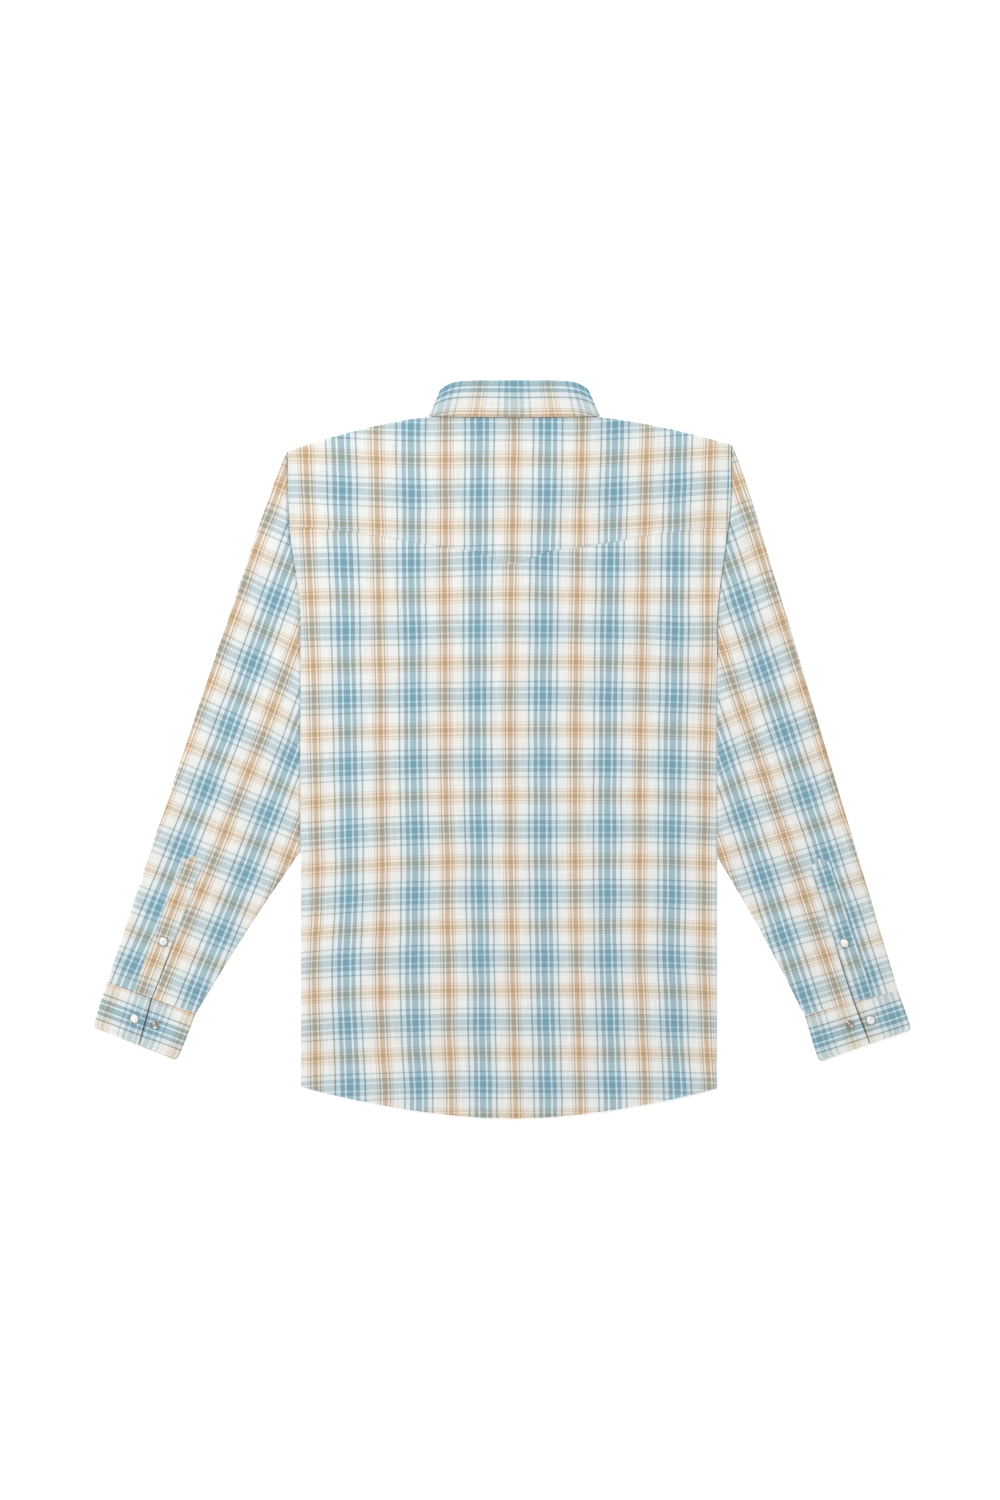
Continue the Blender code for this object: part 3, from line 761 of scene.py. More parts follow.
SLEEVE_BLUE_AT = (0.0, 100.0, 300.0, 450.0, 600.0)      # down a sleeve
SLEEVE_SAG_AT = (160.0, 240.0, 310.0, 390.0)
LEFT = Side(
    name="left", sign=-1, shoulder_half=246.4, side_half=232.6, swing=(95.0, 225.0),
    shoulder_drop=37.0, seam_out=(445.8, 621.9), seam_in=(347.3, 655.6), edge_out=(461.2, 670.6),
    edge_in=(367.8, 707.4), leaves_body=478.0, slit_shares=(0.552, 0.492, 0.45),
    lay=SleeveLay(
        corner=(251.9, 31.9), lean=21.0, warp_pitch=74.8, weft=(81.1, 77.3, 0.62),
        blue_in=Course(SLEEVE_BLUE_AT, (49.5, 52.0, 55.7, 55.6, 51.0), 40.0),
        inner_sag=Course(SLEEVE_SAG_AT, (12.0, 15.0, 11.0, 2.0), 30.0),
        pulls=(
            Pull((50.0, 145.0), (32.0, 38.0), (0.0, 1.6)),
            Pull((15.0, 200.0), (14.0, 120.0), (-1.0, -1.0)),
            Pull((15.0, 112.0), (16.0, 30.0), (-1.2, 0.0)),
            Pull((102.0, 300.0), (22.0, 42.0), (0.5, -1.9)),
            Pull((85.0, 395.0), (32.0, 36.0), (0.0, 1.3)),
            Pull((58.0, 540.0), (13.0, 55.0), (1.8, 0.0)),
        ),
    ),
    cuff_lay=CuffLay(outer_blue=44.0, inner_blue=40.0, blue_up=(25.8, 24.1)),
    placket_lay=PlacketLay(blue_out=-22.9, blue_up=4.8, pitch=69.0),
    folds=(
        Ripple(0.30, (97.0, 143.0), (0.4, 1.9)),
        Crease((262.0, 120.0), (268.0, 300.0), 0.6, 9.0, 0.05),
        Crease((246.0, 205.0), (330.0, 330.0), -0.9, 13.0, -0.06),
        Crease((250.0, 300.0), (322.0, 420.0), 0.8, 12.0, 0.08),
        Crease((285.0, 380.0), (372.0, 470.0), -0.6, 10.0, 0.05),
        Crease((262.0, 470.0), (352.0, 520.0), 0.7, 9.0, 0.1),
        Crease((330.0, 600.0), (372.0, 520.0), -0.5, 8.0, 0.0),
    ),
)
RIGHT = Side(
    name="right", sign=1, shoulder_half=240.9, side_half=225.3, swing=(75.0, 235.0),
    shoulder_drop=30.0, seam_out=(424.4, 631.0), seam_in=(321.2, 657.8), edge_out=(439.4, 673.4),
    edge_in=(336.8, 709.0), leaves_body=484.0, slit_shares=(0.585, 0.53, 0.556),
    lay=SleeveLay(
        corner=(248.6, 31.9), lean=18.5, warp_pitch=72.9, weft=(159.4, 78.7, 0.95),
        blue_in=Course(SLEEVE_BLUE_AT, (51.0, 51.3, 51.7, 51.7, 51.3), 40.0),
        inner_sag=Course(SLEEVE_SAG_AT, (11.0, 5.0, 14.0, -2.0), 30.0),
        pulls=(
            Pull((62.0, 205.0), (36.0, 42.0), (0.0, 4.6)),
            Pull((12.0, 92.0), (20.0, 44.0), (-0.9, -3.0)),
            Pull((66.0, 236.0), (24.0, 24.0), (0.0, 1.2)),
            Pull((108.0, 530.0), (26.0, 62.0), (0.0, -2.0)),
            Pull((112.0, 345.0), (22.0, 28.0), (0.0, -4.0)),
            Pull((15.0, 385.0), (16.0, 62.0), (1.5, -1.8)),
        ),
    ),
    cuff_lay=CuffLay(outer_blue=15.3, inner_blue=7.7, blue_up=(23.5, 20.7)),
    placket_lay=PlacketLay(blue_out=16.0, blue_up=10.0, pitch=64.0),
    folds=(
        Ripple(0.30, (88.0, 151.0), (2.1, 0.3)),
        Crease((256.0, 140.0), (262.0, 330.0), 0.6, 10.0, -0.04),
        Crease((238.0, 180.0), (318.0, 330.0), -0.9, 12.0, 0.06),
        Crease((240.0, 330.0), (300.0, 430.0), 0.8, 13.0, -0.05),
        Crease((280.0, 400.0), (352.0, 500.0), -0.6, 11.0, 0.08),
        Crease((288.0, 500.0), (330.0, 540.0), 0.9, 6.0, 0.1),
        Crease((296.0, 525.0), (352.0, 548.0), -0.7, 6.0, -0.05),
    ),
)


def by_side(x: Array, name: str) -> Array:
    """A size of the side that each x is on."""
    return np.where(x < 0, getattr(LEFT, name), getattr(RIGHT, name))


# --- body

BACK_AT = (0.0, 150.0, 350.0, 520.0, 620.0, 771.0)      # down the back
BACK_SAG_AT = (195.0, 343.0, 488.0, 560.0, 631.0, 771.0)
YOKE_AT = (-230.0, -160.0, -100.0, -10.0, 80.0, 150.0, 230.0)       # x along the yoke seam


@dataclass
class Body:
    """Back panel, yoke, fronts and front placket, in the garment's own frame."""

    tailor: Tailor
    neck_x: float = 2.5
    neck_half: float = 89.5
    neck_back: float = 1.0
    neck_drop: float = 78.0
    collar_ease: float = 15.0
    back_length: float = 771.0
    side_length: float = 736.0
    front_tail: float = 27.0
    hem_power: float = 1.8
    shoulder_power: float = 1.4
    fold: float = 3.0
    side_closes: Pair = (268.0, 298.0)
    shoulder_closes: float = 14.0
    placket_half: float = 17.5
    placket_margin: float = 4.0
    placket_ease: float = 110.0
    yoke_side: float = 122.0
    yoke_dip: float = 28.0
    yoke_point: float = 13.0
    yoke_point_half: float = 40.0
    yoke_span: float = 240.0
    yoke_lap: float = 4.0           # how far the back reaches under the yoke
    lap_depth: float = 0.6          # how much lower it lies there
    front_level: float = 0.6
    front_neck_level: float = 2.6
    side_level: float = 4.6
    back_crown: float = 1.7
    placket_level: float = 3.0
    underlap_level: float = 4.6
    neck_rise: float = 1.6
    neck_rise_reach: float = 95.0
    over_collar: Pair = (104.0, 132.0)
    neck_fade: float = 0.4
    armhole_roll: float = 0.5       # how far the body's edge stands up over the sleeve
    armhole_roll_width: float = 6.0
    armhole_roll_ends: Pair = (-30.0, 30.0)     # it fades about where the side starts to close
    fold_margin: float = 18.0       # creases fade this near the edge
    lap_ends: Pair = (2.5, 1.5)     # the back dips from this far below the yoke seam to this far above
    pucker: float = 0.30            # height of the gathers along the yoke seam
    pucker_reach: float = 6.5
    layer_air: float = 0.05         # between the two layers where they meet at a fold
    yoke_rows: Pair = (1.4, 7.2)    # two rows of stitches above the yoke seam
    yoke_row_half: float = 236.0
    row_clear: float = 2.0          # they end this far from the armhole
    row_start: float = 8.0          # the armhole's row starts this far below the shoulder's drop
    hem_rows: tuple[Pair, Pair] = ((-0.93, -0.12), (0.12, 0.93))    # of a front's half width
    edge_row: float = 1.8           # from the armhole's edge to its stitches
    hem_row: float = 6.5
    row_margin: float = 12.0        # a hem's row ends this far from the side folds
    placket_row: float = 5.5        # from the front placket's edge to its stitches
    warp_centre: Course = Course(BACK_AT, (1.2, -1.2, -2.3, -1.4, 0.5, 4.3), 40.0)
    warp_pitch: Course = Course(BACK_AT, (74.6, 73.0, 71.5, 70.7, 71.3, 71.8), 40.0)
    warp_lean: Course = Course((0.0, 150.0, 260.0, 620.0, 700.0), (0.8, 0.35, 0.0, 0.0, 0.45), 40.0)
    back_weft: tuple[float, float, float] = (157.0, 75.96, 0.485)   # first blue stripe, pitch, shrink
    left_sag: Course = Course(BACK_SAG_AT, (3.4, 5.2, 10.2, 9.4, 8.0, 6.0), 30.0)
    right_sag: Course = Course(BACK_SAG_AT, (2.0, 4.8, 2.6, 3.0, 4.0, 2.0), 30.0)
    sag_power: float = 2.4
    yoke_aside: Course = Course((-130.0, -20.0, 100.0, 180.0), (1.6, 0.8, 2.9, 0.6), 20.0)
    yoke_sag: Course = Course(YOKE_AT, (-3.5, -0.7, 1.8, 0.5, 1.2, -2.6, -8.0), 15.0)
    yoke_blue: float = 9.9          # where a blue weft stripe lies on the yoke
    yoke_pitch: float = 73.3
    front_blue: float = 12.0
    back_folds: tuple[Crease | Ripple, ...] = (
        Ripple(0.30, (131.0, 189.0), (0.7, 2.2)),
        Ripple(0.14, (57.0, 83.0), (1.9, 0.4)),
        Crease((-222.0, 300.0), (-96.0, 372.0), 0.8, 15.0, 0.07),
        Crease((-228.0, 420.0), (-138.0, 545.0), -0.9, 17.0, -0.08),
        Crease((-205.0, 505.0), (-118.0, 668.0), 0.7, 12.0, 0.05),
        Crease((-150.0, 612.0), (-128.0, 652.0), -0.5, 5.0, 0.1),
        Crease((216.0, 296.0), (122.0, 398.0), 0.8, 16.0, -0.06),
        Crease((222.0, 430.0), (168.0, 560.0), -0.7, 14.0, 0.08),
        Crease((196.0, 560.0), (150.0, 742.0), 0.6, 13.0, -0.04),
        Crease((-40.0, 330.0), (-66.0, 560.0), -0.5, 18.0, 0.04),
        Crease((52.0, 470.0), (84.0, 735.0), 0.6, 17.0, 0.05),
        Crease((-62.0, 600.0), (-34.0, 760.0), 0.5, 15.0, -0.05),
        Crease((-92.0, 22.0), (-182.0, 118.0), 0.6, 12.0, 0.06),
        Crease((96.0, 20.0), (176.0, 112.0), 0.6, 13.0, -0.08),
        Crease((204.0, 52.0), (216.0, 150.0), -0.6, 9.0, 0.05),
        Crease((-214.0, 70.0), (-220.0, 190.0), -0.6, 9.0, -0.05),
    )
    front_folds: tuple[Crease | Ripple, ...] = (
        Ripple(0.22, (119.0, 173.0), (1.1, 0.6)),
        Crease((-208.0, 300.0), (-90.0, 420.0), 0.8, 15.0, 0.06),
        Crease((-196.0, 470.0), (-120.0, 700.0), 0.7, 13.0, -0.05),
        Crease((200.0, 310.0), (96.0, 402.0), 0.8, 14.0, -0.07),
        Crease((186.0, 480.0), (112.0, 720.0), 0.7, 15.0, 0.05),
        Crease((-64.0, 520.0), (-52.0, 740.0), 0.6, 12.0, 0.04),
        Crease((74.0, 180.0), (62.0, 392.0), 0.6, 14.0, -0.04),
    )
    back_pulls: tuple[Pull, ...] = (
        Pull((-130.0, 310.0), (48.0, 170.0), (1.3, 0.0)),
        Pull((-95.0, 485.0), (42.0, 45.0), (1.4, 0.0)),
        Pull((-190.0, 610.0), (55.0, 64.0), (-4.6, 0.0)),
        Pull((-165.0, 172.0), (26.0, 40.0), (1.2, 0.0)),
        Pull((-48.0, 600.0), (38.0, 120.0), (1.6, 0.0)),
        Pull((-115.0, 745.0), (62.0, 48.0), (3.0, 0.0)),
        Pull((185.0, 600.0), (90.0, 60.0), (-2.8, 0.0)),
        Pull((200.0, 750.0), (62.0, 45.0), (2.4, 0.0)),
        Pull((-108.0, 160.0), (85.0, 58.0), (0.0, 3.0)),
        Pull((-130.0, 300.0), (85.0, 110.0), (0.0, 1.3)),
        Pull((104.0, 168.0), (75.0, 55.0), (0.3, 2.8)),
        Pull((190.0, 240.0), (34.0, 44.0), (0.0, 1.8)),
        Pull((150.0, 505.0), (62.0, 120.0), (0.0, -1.8)),
    )

    # Outlines

    @staticmethod
    def side_half(x: Array, down: Array) -> Array:
        """Half width of the body at each x's side: the armhole, then the side fold."""
        swing = np.where(x < 0, between(down, LEFT.swing), between(down, RIGHT.swing))
        return mix(by_side(x, "shoulder_half"), by_side(x, "side_half"), swing)

    def hem_down(self, x: Array, tail: float) -> Array:
        """A shirt-tail hem, as much as the tail lower at its middle than at the side folds."""
        share = np.minimum(np.abs(x) / LEFT.side_half, 1.0)
        return self.side_length + tail * (1.0 - share ** self.hem_power)

    def back_hem(self, x: Array) -> Array:
        """The back's hem."""
        return self.hem_down(x, self.back_length - self.side_length)

    def front_ends(self, column: Array) -> tuple[Array, Array]:
        """down of a front column's ends: at the hem and, between the neck points, at the neck."""
        hem = self.hem_down(self.column_x(column, self.side_length, self.neck_x), self.front_tail)
        return hem, GAP + self.neck_drop * self.round_neck(column)

    def yoke_down(self, x: Array) -> Array:
        """The yoke seam: a slow dip from the armholes and a point at the centre back."""
        dip = self.yoke_dip * smooth(1.0 - np.abs(x) / self.yoke_span)
        point = self.yoke_point * np.maximum(0.0, 1.0 - np.abs(x) / self.yoke_point_half)
        return self.yoke_side + dip + point

    def shoulder_down(self, x: Array) -> Array:
        """The shoulder fold, which falls faster towards the sleeve."""
        reach = (np.abs(x) - self.neck_half) / (by_side(x, "shoulder_half") - self.neck_half)
        return GAP + by_side(x, "shoulder_drop") * np.maximum(reach, 0.0) ** self.shoulder_power

    @staticmethod
    def round_neck(column: Array) -> Array:
        """How far round the neck a column is: 0 at the neck point and 1 at the centre front."""
        return np.sqrt(np.maximum(0.0, 1.0 - column * column))

    # Heights

    def near_neck(self, x: Array, down: Array, across: float, deep: float) -> Array:
        """1 round the neck, falling to 0 outside an ellipse of these half sizes."""
        reach = np.hypot((x - self.neck_x) / across, down / deep)
        return 1.0 - smooth((reach - 1.0) / self.neck_fade)

    def back_height(self, x: Array, down: Array) -> Array:
        """Middle of the back's cloth: a slight crown, a lift round the neck, and its creases.

        The creases fade round the neck, and the edge rolls up a little over the sleeve.

        Args:
            x: x of plan points.
            down: How far down they lie.

        Returns:
            Heights in millimetres.
        """
        crown = 1.0 - np.minimum(np.abs(x) / LEFT.side_half, 1.0) ** 2
        neck = self.near_neck(x, down, self.neck_rise_reach, self.neck_rise_reach)
        from_edge = self.side_half(x, down) - np.abs(x)
        by_armhole = 1.0 - between(down - self.side_closes[0], self.armhole_roll_ends)
        roll = self.armhole_roll * bell(from_edge / self.armhole_roll_width) * by_armhole
        folds = lifts(self.back_folds, x, down) * (1.0 - neck) * smooth(from_edge / self.fold_margin)
        level = self.side_level + self.back_crown * crown + self.neck_rise * neck
        return level + HUG + roll + folds

    def yoke_pucker(self, x: Array, down: Array) -> Array:
        """Small uneven gathers that the yoke seam draws up, fading within a few millimetres."""
        from_seam = (down - self.yoke_down(x)) / self.pucker_reach
        gathers = np.sin(x / 1.7 + 2.3 * np.sin(x / 13.0)) * (0.55 + 0.45 * np.sin(x / 23.0 + 1.0))
        return self.pucker * gathers * bell(from_seam)

    def front_height(self, x: Array, down: Array, edge_level: float) -> Array:
        """Middle of a front's cloth: it rises to the placket, and over the collar's points.

        Args:
            x: x of plan points.
            down: How far down they lie.
            edge_level: The CAD's level of the front beside the placket.

        Returns:
            Heights in millimetres.
        """
        beside = np.abs(x - self.neck_x) - self.placket_half - self.placket_margin
        from_edge = smooth(beside / self.placket_ease)
        at_edge = mix(edge_level, self.front_level, from_edge)
        near = self.near_neck(x, down, *self.over_collar)
        over_collar = mix(self.front_level, self.front_neck_level, near)
        folds = np.maximum(lifts(self.front_folds, x, down), 0.0)
        return np.maximum(at_edge, over_collar) - HUG + folds * from_edge * (1.0 - near)

    def edge_drop(self, column: Array, row: Array, x: Array, down: Array) -> Array:
        """How far a folded edge has turned towards the other layer, from 0 to 1.

        Args:
            column: Column parameters.
            row: Row parameters.
            x: x of plan points.
            down: How far down they lie.

        Returns:
            Shares of the way to where the layers meet.
        """
        side_drop = between(down, self.side_closes) * (1.0 - np.cos(quarter(np.abs(column) - 2.0)))
        beside_neck = smooth((np.abs(x - self.neck_x) - self.neck_half) / self.shoulder_closes)
        shoulder_drop = beside_neck * (1.0 - np.cos(quarter(row - 1.0)))
        return np.maximum(side_drop, shoulder_drop)

    # Grids

    def column_x(self, column: Array, down: Array, middle: float) -> Array:
        """x of a body column: 0 at the middle, 1 at the neck point, 2 by the fold, 3 at its end.

        Args:
            column: Column parameters.
            down: How far down.
            middle: x of column 0.

        Returns:
            x of every point.
        """
        side, reach = np.sign(column), np.abs(column)
        neck = side * (self.neck_half * cosine(self.collar_ease) + GAP) + self.neck_x
        edge = side * (self.side_half(column, down) - SHIRTING / 2 - self.fold)
        flat = mix(neck, edge, np.clip(reach - 1.0, 0.0, 1.0))
        turned = flat + side * self.fold * np.sin(quarter(reach - 2.0))
        return np.where(reach <= 1.0, mix(middle, neck, reach), turned)

    def row_down(self, row: Array, bottom: Array, top: Array) -> Array:
        """down of a body row: 0 at the lower edge, 1 by the shoulder fold, 2 at its end."""
        flat = mix(bottom, top + self.fold, np.minimum(row, 1.0))
        return flat - self.fold * np.sin(quarter(row - 1.0))

    def folded(
        self, column: Array, row: Array, x: Array, down: Array, height: Array, facing: Facing,
    ) -> Array:
        """Stacks a body panel's points, turned at its folded edges to meet the other layer.

        Args:
            column: Column parameters.
            row: Row parameters.
            x: x of plan points.
            down: How far down they lie.
            height: Heights before the folds.
            facing: Which way the panel's outside looks.

        Returns:
            x, down and height of every point.
        """
        apart = facing.value * (SHIRTING + self.layer_air)
        meets = (self.side_level + self.front_level + apart) / 2
        return stacked(x, down, mix(height, meets, self.edge_drop(column, row, x, down)))

    def back_panel(self, column: Array, row: Array) -> Array:
        """The back below the yoke: its upper edge passes under the yoke's.

        Args:
            column: Column parameters.
            row: Row parameters.

        Returns:
            x, down and height of every point.
        """
        hem = self.back_hem(self.column_x(column, self.side_length, 0.0))
        seam = self.yoke_down(self.column_x(column, self.yoke_side, 0.0))
        down = mix(hem, seam - self.yoke_lap, row)
        x = self.column_x(column, down, 0.0)
        under = smooth((seam + self.lap_ends[0] - down) / sum(self.lap_ends))
        height = self.back_height(x, down) - self.lap_depth * under + self.yoke_pucker(x, down)
        return self.folded(column, np.minimum(row, 1.0), x, down, height, Facing.UP)

    def yoke(self, column: Array, row: Array) -> Array:
        """The yoke, from its seam to the back neck and the shoulder folds.

        Args:
            column: Column parameters.
            row: Row parameters.

        Returns:
            x, down and height of every point.
        """
        seam = self.yoke_down(self.column_x(column, self.yoke_side, 0.0))
        neck = GAP - self.neck_back * self.round_neck(column)
        top = np.where(np.abs(column) <= 1.0, neck, self.shoulder_down(self.column_x(column, 0.0, 0.0)))
        down = self.row_down(row, seam, top)
        x = self.column_x(column, down, 0.0)
        height = self.back_height(x, down) + self.yoke_pucker(x, down)
        return self.folded(column, row, x, down, height, Facing.UP)

    def front(self, edge_level: float) -> Place:
        """The place function of a front whose edge lies at this level.

        Args:
            edge_level: The CAD's level of the front beside the placket.

        Returns:
            A function of column and row.
        """

        def place(column: Array, row: Array) -> Array:
            """A point of the front."""
            hem, neck = self.front_ends(column)
            shoulder = self.shoulder_down(self.column_x(column, 0.0, self.neck_x))
            down = self.row_down(row, hem, np.where(np.abs(column) <= 1.0, neck, shoulder))
            x = self.column_x(column, down, self.neck_x)
            height = self.front_height(x, down, edge_level)
            return self.folded(column, row, x, down, height, Facing.DOWN)

        return place

    def placket(self, column: Array, row: Array) -> Array:
        """The front placket, a straight band from the neck seam to the hem."""
        level = self.placket_level - HUG + (BAND - SHIRTING) / 2
        return stacked(self.column_x(column, 0.0, self.neck_x), mix(*self.front_ends(column), row), level)

    # The plaid

    def back_warp(self, x: Array, down: Array) -> Array:
        """Distance across the warp on the back, whose tan stripe runs down its centre.

        The stripes spread towards the shoulders, sway a little, and lean to one side at both ends.

        Args:
            x: x of plan points.
            down: How far down they lie.

        Returns:
            Distance on the bolt, 0 at a blue stripe.
        """
        pitch = self.warp_pitch.at(down)
        count = (x - self.warp_centre.at(down)) / pitch
        return (count + self.warp_lean.at(down) * count * count / pitch + 0.5) * REPEAT

    def back_bolt(self, column: Array, row: Array) -> Array:
        """The back's place on the bolt: its weft sags towards the sides, most on the left.

        Args:
            column: Column parameters.
            row: Row parameters.

        Returns:
            Distances across and along the warp.
        """
        x, down = undrawn(self.back_pulls, *plan(self.back_panel(column, row)))
        sag = np.where(x < 0, self.left_sag.at(down), self.right_sag.at(down))
        sag = sag * (np.abs(x) / LEFT.side_half) ** self.sag_power
        return stacked(self.back_warp(x, down), weft_at(down - sag, *self.back_weft))

    def yoke_bolt(self, column: Array, row: Array) -> Array:
        """The yoke's place on the bolt: its stripes stray a little from the back's at the seam."""
        x, down = plan(self.yoke(column, row))
        weft = (down - self.yoke_sag.at(x) - self.yoke_blue) / self.yoke_pitch * REPEAT
        return stacked(self.back_warp(x - self.yoke_aside.at(x), down), weft)

    def front_bolt(self, place: Place) -> Place:
        """The place of a front on the bolt, cut straight with a blue stripe under the placket.

        Args:
            place: The front's place function.

        Returns:
            A function of column and row.
        """

        def bolt(column: Array, row: Array) -> Array:
            """Its place on the bolt."""
            x, down = plan(place(column, row))
            return stacked(x - self.neck_x, down - self.front_blue)

        return bolt

    # Making

    def placket_edge(self) -> float:
        """The column of the front placket's edge."""
        return self.placket_half / (self.neck_half * float(cosine(self.collar_ease)) + GAP)

    def columns(self, first: float, last: float) -> Array:
        """Columns across the body from one parameter to another, closer where the cloth turns.

        Args:
            first: First column.
            last: Last column.

        Returns:
            Rising column parameters.
        """
        flat = steps(1.0, 2.0, LEFT.side_half - self.neck_half)
        reach = chain(
            steps(0.0, 1.0, self.neck_half), closing(9, 0.15), flat, np.linspace(2.0, 3.0, 6)
        )
        both = chain(-reach, reach, [first, last])
        return both[(both >= first - 1e-9) & (both <= last + 1e-9)]

    def seams(self) -> tuple[list[Seam], list[Seam]]:
        """Rows of stitches on the back, and on the fronts and their placket."""
        x = np.linspace(-1.0, 1.0, 400)
        yoke_x = x * self.yoke_row_half
        back = []
        for above in self.yoke_rows:
            down = self.yoke_down(yoke_x) - above
            held = np.abs(yoke_x) < self.side_half(yoke_x, down) - self.row_clear
            back.append(self.on_back(yoke_x[held], down[held]))
        for sign in (-1.0, 1.0):
            side = np.full(200, sign)
            first = by_side(sign, "shoulder_drop") + self.row_start
            down = np.linspace(first, self.side_closes[0], 200)
            back.append(self.on_back(sign * (self.side_half(side, down) - self.edge_row), down))
        hem_x = x * (LEFT.side_half - self.row_margin)
        back.append(self.on_back(hem_x, self.back_hem(hem_x) - self.hem_row))
        front = []
        for level, ends in zip((self.placket_level, self.underlap_level), self.hem_rows):
            row_x = np.linspace(*ends, 200) * LEFT.side_half
            down = self.hem_down(row_x, self.front_tail) - self.hem_row
            height = self.front_height(row_x, down, level) - SHIRTING / 2
            front.append(Seam(stacked(row_x, down, height), Facing.DOWN))
        inside = 1.0 - self.placket_row / self.placket_half
        for sign in (-1.0, 1.0):
            column = np.full(200, sign * self.placket_edge() * inside)
            points = self.placket(column, np.linspace(0.01, 0.99, 200))
            front.append(Seam(points - (0.0, 0.0, BAND / 2), Facing.DOWN))
        return back, front

    def on_back(self, x: Array, down: Array) -> Seam:
        """A row of stitches on the outer face of the back."""
        height = self.back_height(x, down) + self.yoke_pucker(x, down) + SHIRTING / 2
        return Seam(stacked(x, down, height), Facing.UP)

    def build(self) -> None:
        """Makes the five cloth pieces of the body."""
        sew = self.tailor.sew
        turned = np.linspace(1.0, 2.0, 6)
        by_seam = np.linspace(0.0, 12.0, 7)
        body_rows = chain(steps(0.0, 1.0, 600.0), 1.0 - by_seam / 600.0)
        sew(
            "back_panel", Surface(self.back_panel, self.back_bolt),
            self.columns(-3.0, 3.0), body_rows, SHIRTING,
            Cut(0.485, 0.66, 0.290), ["left_front_cloth", "right_front_cloth"],
        )
        yoke_rows = chain(steps(0.0, 1.0, 150.0), by_seam / 150.0, turned)
        sew(
            "back_yoke", Surface(self.yoke, self.yoke_bolt),
            self.columns(-3.0, 3.0), yoke_rows, SHIRTING, Cut(0.495, 0.165, 0.064),
            ["back_panel_cloth"],
        )
        edge = self.placket_edge()
        front_rows = chain(steps(0.0, 1.0, 700.0), turned)
        left = self.front(self.placket_level)
        sew(
            "left_front", Surface(left, self.front_bolt(left)),
            self.columns(-3.0, -edge - GAP / self.neck_half), front_rows, SHIRTING,
            Cut(0.235, 0.76, 0.160), faces_down=True,
        )
        right = self.front(self.underlap_level)
        sew(
            "right_front", Surface(right, self.front_bolt(right)),
            self.columns(-edge, 3.0), front_rows, SHIRTING, Cut(0.26, 0.76, 0.176), faces_down=True,
        )
        sew(
            "front_placket", Surface(self.placket, self.front_bolt(self.placket)),
            self.columns(-edge, edge), steps(0.0, 1.0, 680.0), BAND,
            Cut(0.035, 0.69, 0.024), faces_down=True,
        )


# --- arms

